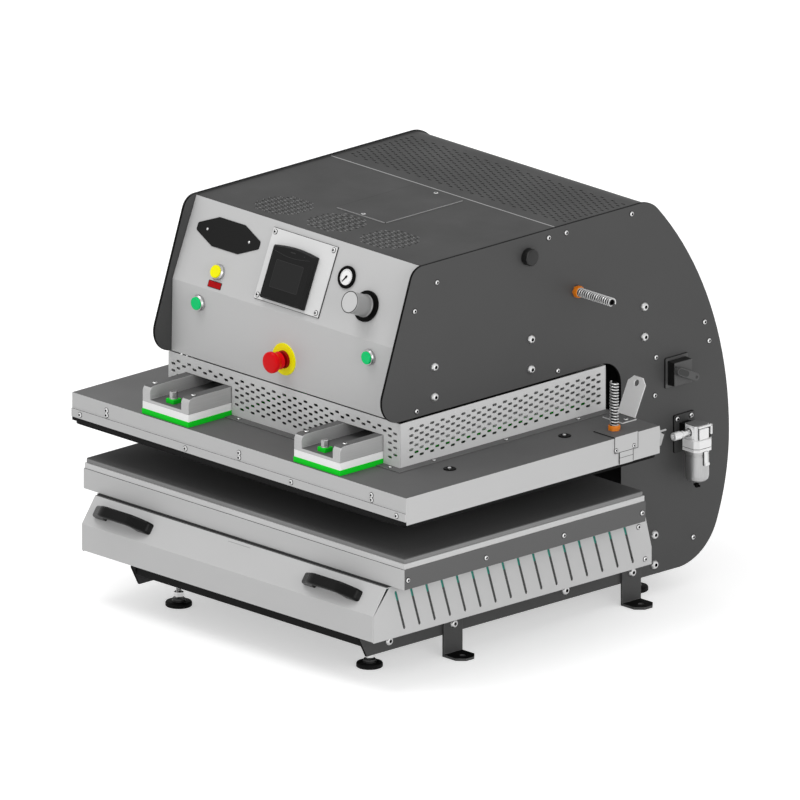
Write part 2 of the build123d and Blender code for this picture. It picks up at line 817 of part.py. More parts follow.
with BuildPart() as estop_head:
    head_low = estop_disc_wall + estop_collar_height + estop_travel + 0.5
    with BuildSketch(Plane(origin=estop_place.origin, x_dir=(1, 0, 0), z_dir=estop_place.y_dir * -1)):
        with BuildLine():
            rim_low = estop_proud - 9
            Line((0, head_low), (estop_waist_radius + 1.5, head_low))
            ThreePointArc((estop_waist_radius + 1.5, head_low),
                          (estop_waist_radius, (head_low + rim_low) / 2 - 1),
                          (estop_radius - 0.8, rim_low))
            Line((estop_radius - 0.8, rim_low), (estop_radius, rim_low + 2))
            Line((estop_radius, rim_low + 2), (estop_radius, estop_proud - 3))
            Line((estop_radius, estop_proud - 3), (estop_radius - 3, estop_proud))
            Line((estop_radius - 3, estop_proud), (0, estop_proud))
            Line((0, estop_proud), (0, head_low))
        make_face()
    revolve(axis=Axis(estop_place.origin, estop_place.z_dir))
    rod_on(estop_place, -sleeve_depth + 2 * estop_travel, head_low, stem_radius)
save(estop_head, "estop_head")

# Pressure gauge: case with its ring, white dial, and a needle on an arbor

gauge_place = on_slope(gauge_x, gauge_h)
with BuildPart() as gauge_case:
    rod_on(gauge_place, 0, gauge_proud, gauge_radius)
    rod_on(gauge_place, -gauge_body_depth, 0, gauge_body_radius)
    rod_on(gauge_place, 0, gauge_proud, gauge_radius - gauge_ring, Mode.SUBTRACT)
    rod_on(gauge_place, 0, dial_wall, gauge_radius - gauge_ring - fit_gap)
    rod_on(gauge_place, -gauge_body_depth / 2, dial_wall, arbor_radius + fit_gap, Mode.SUBTRACT)
save(gauge_case, "gauge_case")

with BuildPart() as gauge_needle:
    rod_on(gauge_place, -gauge_body_depth / 2 + 1, dial_wall + 1.5, arbor_radius)
    with BuildSketch(gauge_place.offset(dial_wall + 0.5)):
        Circle(2 * arbor_radius)
        with Locations(Rotation(0, 0, needle_angle)):
            with Locations((needle_length / 2 - arbor_radius, 0)):
                Rectangle(needle_length, needle_width)
    extrude(amount=needle_wall)
save(gauge_needle, "gauge_needle")

# Pressure regulator: flange ring and body through the slope, and a knob on its spindle

regulator_place = on_slope(regulator_x, regulator_h)
with BuildPart() as regulator_body:
    rod_on(regulator_place, 0, regulator_ring_height, regulator_ring_radius)
    rod_on(regulator_place, -3 * sheet, 0, regulator_neck_radius)
    rod_on(regulator_place, -regulator_depth, -3 * sheet, regulator_body_radius)
    rod_on(regulator_place, regulator_ring_height, spindle_height, spindle_radius)
save(regulator_body, "regulator_body")

with BuildPart() as regulator_knob:
    knob_low = regulator_ring_height + 0.4
    rod_on(regulator_place, knob_low, knob_low + knob_length, knob_radius)
    rod_on(regulator_place, knob_low, spindle_height + 1, spindle_radius + fit_gap, Mode.SUBTRACT)
    knob_axis = Axis(regulator_place.origin, slope_normal)
    fillet(regulator_knob.edges().filter_by(GeomType.CIRCLE).sort_by(knob_axis)[-1], 1.0)
save(regulator_knob, "regulator_knob")

# Isolator switch

isolator_face = Plane(origin=(half, isolator_y, isolator_z), x_dir=(0, 1, 0), z_dir=(1, 0, 0))
isolator_out = isolator_plate_wall + isolator_block_height
with BuildPart() as isolator_base:
    with BuildSketch(isolator_face):
        RectangleRounded(isolator_plate, isolator_plate, 3)
    extrude(amount=isolator_plate_wall)
    with BuildSketch(isolator_face.offset(isolator_plate_wall)):
        Rectangle(isolator_block, isolator_block)
    extrude(amount=isolator_block_height, taper=3)
    rod_on(isolator_face, isolator_out / 2, isolator_out, isolator_pin_radius + fit_gap, Mode.SUBTRACT)
save(isolator_base, "isolator_base")

with BuildPart() as isolator_handle:
    rod_on(isolator_face, isolator_out / 2 + 0.5, isolator_out + 0.3, isolator_pin_radius)
    rod_on(isolator_face, isolator_out + 0.3, isolator_out + 3, isolator_hub_radius)
    turned = Plane(origin=isolator_face.origin, x_dir=(0, math.cos(math.radians(handle_lean)),
                   math.sin(math.radians(handle_lean))), z_dir=(1, 0, 0))
    with BuildSketch(turned.offset(isolator_out + 3)):
        SlotOverall(handle_length, handle_width)
    extrude(amount=handle_thickness)
    with BuildSketch(turned.offset(isolator_out + 3)):
        with Locations((handle_length / 2 - handle_width / 2, 0)):
            Circle(2.5)
    extrude(amount=handle_thickness, mode=Mode.SUBTRACT)
save(isolator_handle, "isolator_handle")

# Air filter: bracket, head with fittings, bowl with latch, drain knob

filter_x = half + filter_x_out
with BuildPart() as filter_bracket:
    block(half, half + filter_plate_wall, filter_y - filter_plate_half, filter_y + filter_plate_half,
          filter_plate_low, filter_plate_top)
    block(half + filter_plate_wall, filter_x - filter_cap / 2, filter_y - filter_cap / 3,
          filter_y + filter_cap / 3, filter_neck_z + 4, filter_top - 4)
    for side in (-1, 1):
        dome = Plane(origin=(half + filter_plate_wall, filter_y + side * (filter_plate_half - 8),
                             filter_plate_top - 8), x_dir=(0, 1, 0), z_dir=(1, 0, 0))
        rod_on(dome, 0, 3, 4.5)
save(filter_bracket, "filter_bracket")

with BuildPart() as filter_head:
    with BuildSketch(Plane.XY.offset(bowl_top)) as collar_outline:
        with Locations((filter_x, filter_y)):
            Rectangle(filter_collar, filter_collar)
        chamfer(collar_outline.vertices(), filter_collar_chamfer)
    extrude(amount=filter_neck_z - bowl_top)
    with BuildSketch(Plane.XY.offset(filter_neck_z)) as cap_outline:
        with Locations((filter_x, filter_y)):
            Rectangle(filter_cap, filter_cap)
        chamfer(cap_outline.vertices(), filter_cap_chamfer)
    extrude(amount=filter_top - filter_neck_z)
    port_z = (filter_neck_z + filter_top) / 2
    port = Plane(origin=(filter_x, filter_y - filter_cap / 2, port_z), x_dir=(1, 0, 0), z_dir=(0, -1, 0))
    rod_on(port, 0, port_length * 0.55, port_radius * 0.85)
    rod_on(port, port_length * 0.55, port_length, port_radius)
    rear_port = Plane(origin=(filter_x, filter_y + filter_cap / 2, port_z), x_dir=(1, 0, 0), z_dir=(0, 1, 0))
    rod_on(rear_port, 0, 12, 3)
save(filter_head, "filter_head")

with BuildPart() as filter_bowl:
    rod_z(filter_x, filter_y, bowl_bottom, bowl_top, bowl_radius)
    fillet(filter_bowl.edges().sort_by(Axis.Z)[0], bowl_round)
    drain_bore = drain_radius / 2 + fit_gap
    rod_z(filter_x, filter_y, bowl_bottom, bowl_bottom + drain_length / 2, drain_bore, Mode.SUBTRACT)
    block(filter_x + bowl_radius - 1, filter_x + bowl_radius - 1 + latch_wall, filter_y - latch_width / 2,
          filter_y + latch_width / 2, bowl_top - latch_length, bowl_top)
save(filter_bowl, "filter_bowl")

with BuildPart() as filter_drain:
    rod_z(filter_x, filter_y, bowl_bottom - drain_length, bowl_bottom - 0.3, drain_radius)
    rod_z(filter_x, filter_y, bowl_bottom - 0.3, bowl_bottom + drain_length / 2 - 0.5, drain_radius / 2)
    block(filter_x - 2 * drain_radius, filter_x + 2 * drain_radius, filter_y - 1, filter_y + 1,
          bowl_bottom - drain_length + 2, bowl_bottom - drain_length / 2)
save(filter_drain, "filter_drain")

# Side cap, black, in a hole of the right plate

with BuildPart() as side_cap:
    rod_x(half, half + side_cap_height, cap_y, cap_z, side_cap_radius)
    fillet(side_cap.edges().sort_by(Axis.X)[-1], 3)
    rod_x(inner, half, cap_y, cap_z, side_cap_stem)
save(side_cap, "side_cap")

# Cable glands with bend protector springs


def biarc(start, start_dir, end, end_dir):
    """Two tangent arcs from one point and direction to another."""
    span = end - start
    a = 2 * (1 - start_dir.dot(end_dir))
    b = 2 * span.dot(start_dir + end_dir)
    c = -span.dot(span)
    reach = (-b + math.sqrt(b * b - 4 * a * c)) / (2 * a)
    joint = (start + start_dir * reach + end - end_dir * reach) * 0.5
    first = TangentArc(start, joint, tangent=start_dir)
    TangentArc(joint, end, tangent=first % 1)


def spring_path(turns):
    """Centre line of a spring that stands on Z, from its seat to its free end."""
    radius = spring_outer - spring_wire / 2
    rise = spring_pitch / 2
    slope = math.atan(spring_pitch / (2 * math.pi * radius))
    base = spring_wire + spring_bend
    points = []
    for step in range(2 * turns + 1):
        side = 1 if step % 2 == 0 else -1
        place = Vector(side * radius, 0, base + step * rise)
        points.append((place, Vector(0, side * math.cos(slope), math.sin(slope))))
    start = points[0][0]
    seat = start - Vector(0, spring_bend, spring_bend)
    Line(seat - Vector(0, 0, spring_wire), seat)
    TangentArc(seat, start, tangent=(0, 0, 1))
    for (here, here_dir), (there, there_dir) in zip(points, points[1:]):
        biarc(here, here_dir, there, there_dir)
    last, last_dir = points[-1]
    Line(last, last + last_dir * spring_wire)
    return points


def make_spring(turns, name, place):
    """One spring as an unbroken tube, set on a seat."""
    with BuildPart() as spring:
        with BuildLine() as path:
            spring_path(turns)
        with BuildSketch(Plane(origin=path.wire() @ 0, z_dir=path.wire() % 0)):
            Circle(spring_wire / 2)
        sweep(path=path.wire())
    wire = path.wire()
    samples = [wire @ (i / 1200) for i in range(1201)]
    step = wire.length / 1200
    skip = int(3 * spring_wire / step)
    least = min(
        (samples[i] - samples[j]).length - spring_wire
        for i in range(0, 1201, 4) for j in range(i + skip, 1201)
    )
    print(name, "least gap to itself", round(least, 2), "length", round(wire.length, 1))
    spring.part = spring.part.locate(place.location)
    save(spring, name)


def make_gland(name, place, radius, height):
    """A gland nut with a cup that the spring stands in."""
    with BuildPart() as gland:
        with BuildSketch(place):
            RegularPolygon(radius, 6, major_radius=False)
        extrude(amount=height * 0.55)
        rod_on(place, height * 0.55, height, radius)
        rod_on(place, height - gland_cup, height, spring_outer + gland_cup_gap, Mode.SUBTRACT)
        rod_on(place, 0, height - gland_cup, gland_bore, Mode.SUBTRACT)
    save(gland, name)


side_gland_seat = Plane(origin=(half, gland_y, gland_z), x_dir=(0, 1, 0), z_dir=(1, 0, 0))
make_gland("side_gland", side_gland_seat, gland_radius, gland_height)
make_spring(spring_turns, "side_gland_spring", side_gland_seat.offset(gland_height - gland_cup))
gland_cover_top = casing_top + bracket_sheet
platen_gland_seat = Plane(origin=(platen_gland_x, platen_gland_y, gland_cover_top))
make_gland("platen_gland", platen_gland_seat, gland_radius, platen_gland_height)
make_spring(platen_spring_turns, "platen_gland_spring",
            platen_gland_seat.offset(platen_gland_height - gland_cup))

# Cylinders: mount plates between the front and middle beams, with guide bushes

guide_ys = (cylinder_y - guide_pitch / 2, cylinder_y + guide_pitch / 2)
mount_low = cylinder_low - mount_plate_wall
with BuildPart() as cylinder_mounts:
    for x in (-press_beam_x, press_beam_x):
        block(x - mount_plate_half, x + mount_plate_half, beam_y[0] + beam_depth / 2, beam_y[1] - beam_depth / 2,
              mount_low, cylinder_low)
        rod_z(x, cylinder_y, mount_low, cylinder_low, rod_radius + rod_gap, Mode.SUBTRACT)
        for y in guide_ys:
            rod_z(x, y, mount_low, cylinder_low, guide_radius + 2 * guide_gap, Mode.SUBTRACT)
save(cylinder_mounts, "cylinder_mounts")

with BuildPart() as cylinders_and_bushes:
    for x in (-press_beam_x, press_beam_x):
        top = cylinder_low + cylinder_height
        rod_z(x, cylinder_y, cylinder_low, top, cylinder_radius)
        rod_z(x, cylinder_y, cylinder_low + cylinder_head, top - cylinder_head, cylinder_bore, Mode.SUBTRACT)
        rod_z(x, cylinder_y, cylinder_low, cylinder_low + cylinder_head, rod_radius + rod_gap, Mode.SUBTRACT)
    for x in (-press_beam_x, press_beam_x):
        for y in guide_ys:
            rod_z(x, y, cylinder_low, cylinder_low + bush_height, guide_radius + bush_wall)
            rod_z(x, y, cylinder_low, cylinder_low + bush_flange, bush_radius)
            rod_z(x, y, cylinder_low, cylinder_low + bush_height, guide_radius + guide_gap, Mode.SUBTRACT)
save(cylinders_and_bushes, "cylinders_and_bushes")

with BuildPart() as press_rods:
    for x in (-press_beam_x, press_beam_x):
        piston_top = cylinder_low + cylinder_height - cylinder_head - piston_room
        rod_z(x, cylinder_y, steel_low + press_beam_base, piston_top - piston_height, rod_radius)
        rod_z(x, cylinder_y, piston_top - piston_height, piston_top, cylinder_bore - piston_gap)
        for y in guide_ys:
            rod_z(x, y, steel_low + press_beam_base, cylinder_low + bush_height + press_travel + guide_stand,
                  guide_radius)
save(press_rods, "press_rods")

# Control gear inside the column, on the left plate

with BuildPart() as control_gear:
    gear_y = beam_y[2] + beam_depth / 2 + gear_gap
    supply_width, supply_thickness, supply_height = power_supply_size
    block(-inner, -inner + supply_thickness, gear_y, gear_y + supply_width, gear_low, gear_low + supply_height)
    manifold_low = gear_low + supply_height + 2 * gear_gap
    manifold_width, manifold_thickness, manifold_height = manifold_size
    block(-inner, -inner + manifold_thickness, gear_y, gear_y + manifold_width,
          manifold_low, manifold_low + manifold_height)
    valve_width, valve_thickness, valve_height = valve_size
    for index in range(valve_count):
        valve_y = gear_y + (index + 0.5) * manifold_width / valve_count - valve_width / 2
        valve_low = manifold_low + (manifold_height - valve_height) / 2
        block(-inner + manifold_thickness, -inner + manifold_thickness + valve_thickness,
              valve_y, valve_y + valve_width, valve_low, valve_low + valve_height)
save(control_gear, "control_gear")

# Runners: outer member on the plate, middle member, inner member on the chassis

runner_back = runner_front + runner_length
runner_out = half + runner_depth
middle_half = runner_height / 2 - runner_wall - runner_gap
inner_half = middle_half - runner_wall - runner_gap


def mirrored_block(side, x0, x1, y0, y1, z0, z1, mode=Mode.ADD):
    """A box on the right side, or its mirror image on the left."""
    low, high = sorted((side * x0, side * x1))
    block(low, high, y0, y1, z0, z1, mode)


def channel(side, web, lip, half_height, y0, y1):
    """A C channel along Y, web on one side and two flanges."""
    web_to = web + runner_wall if lip > web else web - runner_wall
    mirrored_block(side, web, web_to, y0, y1, runner_middle_z - half_height, runner_middle_z + half_height)
    for sign in (-1, 1):
        z0, z1 = sorted((sign * half_height, sign * (half_height - runner_wall)))
        mirrored_block(side, web, lip, y0, y1, runner_middle_z + z0, runner_middle_z + z1)


with BuildPart() as runner_outer:
    for side in (-1, 1):
        channel(side, half, runner_out - 1.5, runner_height / 2, runner_front, runner_back)
save(runner_outer, "runner_outer")

with BuildPart() as runner_middle:
    for side in (-1, 1):
        channel(side, half + runner_wall + runner_gap, runner_out - 1.5, middle_half, runner_front, runner_back)
save(runner_middle, "runner_middle")

with BuildPart() as runner_inner:
    for side in (-1, 1):
        inner_web = half + 2 * (runner_wall + runner_gap)
        channel(side, runner_out, inner_web, inner_half, runner_front, runner_back)
save(runner_inner, "runner_inner")

# Drawer chassis: an inverted U channel on each side and cross members over the base arms

chassis_in = runner_out
chassis_out = drawer_half - sheet
chassis_top = tray_top - sheet
chassis_front = tray_front + sheet
chassis_back = tray_back - 2 * sheet
with BuildPart() as drawer_chassis:
    for side in (-1, 1):
        for x_in in (chassis_in, chassis_out - chassis_wall):
            mirrored_block(side, x_in, x_in + chassis_wall, chassis_front, chassis_back,
                           chassis_low, chassis_top)
        mirrored_block(side, chassis_in, chassis_out, chassis_front, chassis_back,
                       chassis_top - chassis_wall, chassis_top)
    for y in cross_member_y:
        block(-chassis_out, chassis_out, y - cross_member_width / 2, y + cross_member_width / 2,
              chassis_top - cross_member_height, chassis_top)
save(drawer_chassis, "drawer_chassis")

# Drawer covers: folded front fascia and two slotted side covers

with BuildPart() as drawer_covers:
    with BuildSketch(Plane.YZ.offset(-drawer_half)):
        with BuildLine():
            Polyline(
                (drawer_front, drawer_low + 2.5), (drawer_front, drawer_bend_z),
                (drawer_slope_back, drawer_slope_top), (drawer_slope_back + 8, drawer_slope_top),
                (drawer_slope_back + 8, drawer_slope_top - sheet),
                (drawer_slope_back + sheet / 2, drawer_slope_top - sheet),
                (drawer_front + sheet, drawer_bend_z - sheet / 2),
                (drawer_front + sheet, drawer_low + 2.5), close=True,
            )
        make_face()
    extrude(amount=2 * drawer_half)
    for side in (-1, 1):
        x_side = drawer_half - sheet if side > 0 else -drawer_half
        with BuildSketch(Plane.YZ.offset(x_side)):
            with BuildLine():
                Polyline(
                    (drawer_front + sheet + slip, drawer_low),
                    (drawer_front + sheet + slip, drawer_bend_z - sheet),
                    (drawer_slope_back + 8 + slip, drawer_slope_top - sheet - slip),
                    (drawer_slope_back + 8 + slip, drawer_slope_top),
                    (drawer_back_top, drawer_slope_top), (drawer_back_mid, drawer_back_mid_z),
                    (drawer_back_mid, drawer_low), close=True,
                )
            make_face()
            for index in range(slot_count):
                low = Vector(slot_first_y + index * slot_pitch, slot_low_z)
                high = Vector(low.X - slot_lean, slot_high_z)
                length = (high - low).length + slot_width
                angle = math.degrees(math.atan2(high.Y - low.Y, high.X - low.X))
                with Locations((low + high) * 0.5):
                    SlotOverall(length, slot_width, rotation=angle, mode=Mode.SUBTRACT)
        extrude(amount=sheet)
save(drawer_covers, "drawer_covers")

# Bow handles on the drawer's slope

with BuildPart() as drawer_handles:
    for x in handle_x:
        centre = drawer_slope.from_local_coords((x, handle_h, 0))
        plan = Plane(origin=centre, x_dir=(1, 0, 0), z_dir=drawer_slope.y_dir)
        with BuildSketch(plan.offset(-handle_grip / 2)) as grips:
            with BuildLine():
                foot_out = handle_span / 2
                foot_in = foot_out - handle_foot
                end_out = foot_out - handle_end_run
                grip_out = handle_flat / 2
                grip_in = handle_inner_flat / 2
                gap = handle_proud - handle_bar
                Polyline(
                    (-foot_out, 0), (-end_out, -handle_end_height), (-grip_out, -handle_proud),
                    (grip_out, -handle_proud), (end_out, -handle_end_height), (foot_out, 0),
                    (foot_in, 0), (grip_in, -gap), (-grip_in, -gap), (-foot_in, 0), close=True,
                )
            make_face()
            fillet(grips.vertices().group_by(Axis.Y)[0], handle_bend)
            fillet(grips.vertices().group_by(Axis.Y)[-2], handle_end_bend)
            fillet(grips.vertices().group_by(Axis.Y)[2], handle_inner_bend)
        extrude(amount=handle_grip)
save(drawer_handles, "drawer_handles")

# Tray, aluminium lower platen and foam pad

with BuildPart() as lower_tray:
    block(-tray_half, tray_half, tray_front, tray_back, tray_low, tray_top)
    block(-tray_half + sheet, tray_half - sheet, tray_front + sheet, tray_back - sheet, tray_low,
          tray_top - sheet, Mode.SUBTRACT)
save(lower_tray, "lower_tray")

with BuildPart() as lower_platen:
    block(-tray_half + plate_inset, tray_half - plate_inset, tray_front + plate_inset, tray_back - plate_inset,
          plate_low, plate_low + plate_thickness)
save(lower_platen, "lower_platen")

with BuildPart() as foam_pad:
    block(-tray_half + pad_inset, tray_half - pad_inset, tray_front + pad_inset, tray_back - pad_inset,
          pad_low, pad_low + pad_thickness)
    fillet(foam_pad.edges().filter_by(Axis.Z), 3)
save(foam_pad, "foam_pad")

drawer_screw_spots = [
    (drawer_half, casing_front + 636.5, 176.0), (drawer_half, casing_front + 653.0, 111.0),
    (tray_half, casing_front + 21.0, 218.0), (tray_half, casing_front + 217.0, 218.0),
    (tray_half, casing_front + 412.0, 218.0), (tray_half, casing_front + 608.0, 218.0),
]
with BuildPart() as drawer_screws:
    for side in (-1, 1):
        for x, y, z in drawer_screw_spots:
            head = Plane(origin=(side * x, y, z), x_dir=(0, 1, 0), z_dir=(side, 0, 0))
            rod_on(head, 0, screw_head_height, screw_head_radius)
save(drawer_screws, "drawer_screws")

# Upper casing: a pan over the heated platen, with two strips on its front

with BuildPart() as platen_casing:
    block(-casing_half, casing_half, casing_front, casing_back, casing_low, casing_top)
    block(-casing_half + sheet, casing_half - sheet, casing_front + sheet, casing_back - sheet, casing_low,
          casing_top - sheet, Mode.SUBTRACT)
    block(-casing_half, casing_half, casing_front - strip_wall, casing_front, lower_strip_low, upper_strip_low)
save(platen_casing, "platen_casing")

platen_half = casing_half - platen_inset
with BuildPart() as heated_platen:
    block(-platen_half, platen_half, casing_front + platen_inset, casing_back - platen_inset,
          platen_bottom, platen_bottom + platen_thickness)
save(heated_platen, "heated_platen")

# Insulation: a mat between platen and casing, and slabs under the press beams

beam_sides = (-press_beam_x, press_beam_x)
with BuildPart() as insulation_white:
    block(-platen_half, platen_half, casing_front + platen_inset, casing_back - platen_inset,
          platen_bottom + platen_thickness, casing_top - sheet)
    for x in beam_sides:
        block(x - press_beam_half, x + press_beam_half, press_beam_front, press_beam_back, white_low, steel_low)
save(insulation_white, "insulation_white")

with BuildPart() as insulation_green:
    for x in beam_sides:
        block(x - press_beam_half - slab_margin, x + press_beam_half + slab_margin,
              press_beam_front - slab_margin, press_beam_back, slab_low, white_low)
        block(x - stop_block / 2, x + stop_block / 2, stop_block_y - stop_block / 2,
              stop_block_y + stop_block / 2, steel_low + press_beam_base,
              steel_low + press_beam_base + stop_block_height)
save(insulation_green, "insulation_green")

with BuildPart() as press_beams:
    for x in beam_sides:
        block(x - press_beam_half, x + press_beam_half, press_beam_front, press_beam_back,
              steel_low, steel_low + press_beam_base)
        for edge_x in (x - press_beam_half, x + press_beam_half - press_bar_width):
            block(edge_x, edge_x + press_bar_width, press_beam_front, press_beam_back, steel_low, steel_top)
    front_corners = press_beams.edges().filter_by(Axis.X).group_by(Axis.Y)[0].group_by(Axis.Z)[-1]
    fillet(front_corners, press_bar_round)
save(press_beams, "press_beams")

# Guard round the press beams, under the head

with BuildPart() as perforated_guard:
    with BuildSketch(Plane.XY.offset(casing_top)):
        with Locations((0, (guard_front + guard_back) / 2)):
            Rectangle(2 * guard_half, guard_back - guard_front)
            Rectangle(2 * (guard_half - sheet), guard_back - guard_front - 2 * sheet, mode=Mode.SUBTRACT)
    extrude(amount=guard_top - casing_top)
    flange_half = guard_half + guard_flange
    block(-flange_half, flange_half, guard_front - guard_flange, guard_back - sheet,
          casing_top, casing_top + guard_flange_wall)
    block(-guard_half + sheet, guard_half - sheet, guard_front + sheet, guard_back - sheet,
          casing_top, casing_top + guard_flange_wall, Mode.SUBTRACT)
    for x in beam_sides:
        reach = press_beam_half + slab_margin + guard_notch_gap
        block(x - reach, x + reach, guard_front - guard_flange, guard_front + sheet, casing_top,
              steel_top + guard_notch_gap, Mode.SUBTRACT)
save(perforated_guard, "perforated_guard")

# Screws, plugs and hex bolts of the upper platen

with BuildPart() as platen_screws:
    for x in strip_screw_x:
        strip_z = (lower_strip_low + upper_strip_low) / 2
        head = Plane(origin=(x, casing_front - strip_wall, strip_z), x_dir=(1, 0, 0), z_dir=(0, -1, 0))
        rod_on(head, 0, screw_head_height, screw_head_radius)
    for x in strip_mark_x:
        for z in (upper_strip_low + 6.5, upper_strip_low + 15.5):
            head = Plane(origin=(x, casing_front, z), x_dir=(1, 0, 0), z_dir=(0, -1, 0))
            rod_on(head, 0, screw_head_height / 2, screw_head_radius)
    for x in (-plug_x, plug_x):
        for y in plug_y:
            rod_z(x, y, casing_top, casing_top + 2, plug_radius)
    for x in beam_sides:
        block_top = steel_low + press_beam_base + stop_block_height
        with BuildSketch(Plane.XY.offset(block_top)):
            with Locations((x, stop_block_y)):
                RegularPolygon(hex_width / 2, 6, major_radius=False)
        extrude(amount=hex_height)
        for edge_x in (x - press_beam_half + press_bar_width / 2, x + press_beam_half - press_bar_width / 2):
            rod_z(edge_x, press_beam_front + 22, steel_top, steel_top + screw_head_height, screw_head_radius)
save(platen_screws, "platen_screws")

# Sheet brackets of the upper platen: gland cover, hanger bracket and rear tab

with BuildPart() as platen_brackets:
    cover_x = casing_half - gland_cover_width
    block(cover_x, casing_half + bracket_sheet, gland_cover_front, gland_cover_back,
          casing_top, casing_top + bracket_sheet)
    block(casing_half, casing_half + bracket_sheet, gland_cover_front, gland_cover_back,
          casing_top - gland_cover_drop, casing_top)
    tab_y = (gland_cover_front + gland_cover_back) / 2
    block(casing_half, casing_half + bracket_sheet, tab_y - gland_tab_half, tab_y + gland_tab_half,
          casing_top - gland_cover_drop - gland_tab_drop, casing_top - gland_cover_drop)
    block(hanger_left, hanger_right, hanger_front, hanger_back, casing_top, casing_top + bracket_sheet)
    hanger_middle = (hanger_left + hanger_right) / 2
    lean = math.radians(hanger_lean)
    tab_plane = Plane(origin=(hanger_middle, hanger_back, casing_top + bracket_sheet), x_dir=(1, 0, 0),
                      z_dir=(0, -math.cos(lean), math.sin(lean)))
    with BuildSketch(tab_plane) as tab_outline:
        with Locations((0, hanger_length / 2)):
            Rectangle(hanger_tab, hanger_length)
        chamfer(tab_outline.vertices().group_by(Axis.Y)[-1], hanger_tab / 4)
        with Locations((0, hanger_length - 2 * hanger_hole_radius)):
            Circle(hanger_hole_radius, mode=Mode.SUBTRACT)
    extrude(amount=bracket_sheet)
    block(casing_half - rear_tab_width, casing_half - 2, casing_back, casing_back + bracket_sheet,
          casing_top - rear_tab_length, casing_top - 4)
save(platen_brackets, "platen_brackets")

# Levelling feet: pad, stud and nut turn together

for foot_name, x, y in (
    ("front_left_foot", -foot_x, rail_y[0]), ("front_right_foot", foot_x, rail_y[0]),
    ("rear_left_foot", -foot_x, rail_y[2]), ("rear_right_foot", foot_x, rail_y[2]),
):
    with BuildPart() as levelling_foot:
        rod_z(x, y, 0, foot_thickness, foot_radius)
        fillet(levelling_foot.edges().sort_by(Axis.Z)[-1], foot_thickness / 3)
        rod_z(x, y, foot_thickness, foot_thickness + foot_crown, foot_radius / 2.5)
        rod_z(x, y, foot_thickness + foot_crown, rail_bottom + rail_wall + 3, stud_radius)
        with BuildSketch(Plane.XY.offset(rail_bottom - slip - nut_height)):
            with Locations((x, y)):
                RegularPolygon(nut_width / 2, 6, major_radius=False)
        extrude(amount=nut_height)
    save(levelling_foot, foot_name)
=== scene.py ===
"""Looks of a slide-out heat press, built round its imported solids."""

import math

import bmesh
import bpy
from mathutils import Matrix, Vector


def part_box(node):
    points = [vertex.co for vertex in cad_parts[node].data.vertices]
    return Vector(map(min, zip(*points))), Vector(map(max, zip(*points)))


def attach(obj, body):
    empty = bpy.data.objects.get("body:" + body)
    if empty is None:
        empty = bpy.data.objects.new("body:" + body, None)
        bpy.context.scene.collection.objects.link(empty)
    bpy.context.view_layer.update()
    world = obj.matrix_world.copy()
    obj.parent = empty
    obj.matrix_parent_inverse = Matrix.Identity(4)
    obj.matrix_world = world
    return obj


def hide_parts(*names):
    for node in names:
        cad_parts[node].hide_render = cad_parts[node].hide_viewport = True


bl_info = {
    "name": "Slide-out heat press",
    "version": (1, 0, 0),
    "blender": (4, 5, 0),
    "location": "View3D > Sidebar > Heat press",
    "description": "Dresses the packed solids of a bench heat press with sheet metal, fittings and finishes",
    "category": "Add Mesh",
}

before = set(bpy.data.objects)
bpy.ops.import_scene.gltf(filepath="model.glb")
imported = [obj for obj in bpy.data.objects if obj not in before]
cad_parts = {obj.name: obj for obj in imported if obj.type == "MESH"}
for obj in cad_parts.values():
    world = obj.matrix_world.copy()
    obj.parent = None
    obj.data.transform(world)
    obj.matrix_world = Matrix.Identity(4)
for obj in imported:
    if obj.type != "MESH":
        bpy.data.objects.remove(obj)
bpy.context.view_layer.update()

MM = 0.001
CASING_FRONT = -469.0
PLATE_HALF = 302.5
CASING_HALF = 441.3
CASING_DEPTH = 636.0
CASING_TOP = 382.4
STRIP_FOOT = 336.7
STEEL_TOP = 437.1
BRACKET_TOP = 384.9
COVER_TOP = 754.0
TRAY_HALF = 424.0
BEAM_X = 200.1
VENT_X = (-140, 0, 140)
VENT_BACK = 245
FILTER_X = 339.0
HANGER_RIGHT = 388.2
CREASE = math.radians(26)
EASED_CREASE = math.radians(50)
FOLD_CREASE = math.radians(15)
SHARP_ABOVE = math.radians(32)

SLOPE_FOOT = Vector((0, -354.0, 607.3))
SLOPE_UP = Vector((0, 60.0, 146.7)).normalized()
SLOPE_OUT = Vector((0, -146.7, 60.0)).normalized()
FRONT_UP = Vector((0, 2.5, 136.9)).normalized()
FRONT_OUT = Vector((0, -136.9, 2.5)).normalized()
DRAWER_FOOT = Vector((0, -498.5, 151.0))
DRAWER_UP = Vector((0, 33.5, 46.6)).normalized()
DRAWER_OUT = Vector((0, -46.6, 33.5)).normalized()

MID_GREY = (0.5, 0.5, 0.5, 1)
PALE_WEAR = (0.6, 0.6, 0.6, 1)


def back(distance):
    """The place along Y, given how far behind the upper casing's front it is."""
    return CASING_FRONT + distance


def level(value):
    """A linear grey from a screen level between 0 and 255."""
    return tone(value, value, value)


def tone(red, green, blue):
    """A linear colour from screen levels between 0 and 255."""
    linear = []
    for value in (red, green, blue):
        share = value / 255
        linear.append(share / 12.92 if share <= 0.04045 else ((share + 0.055) / 1.055) ** 2.4)
    return (*linear, 1.0)


def colour_property(label, default, words):
    return bpy.props.FloatVectorProperty(
        name=label, description=words, subtype="COLOR", size=4, min=0, max=1, default=default
    )


def length_property(label, default, words):
    return bpy.props.FloatProperty(
        name=label, description=words, unit="LENGTH", min=0.0001, default=default, precision=4
    )


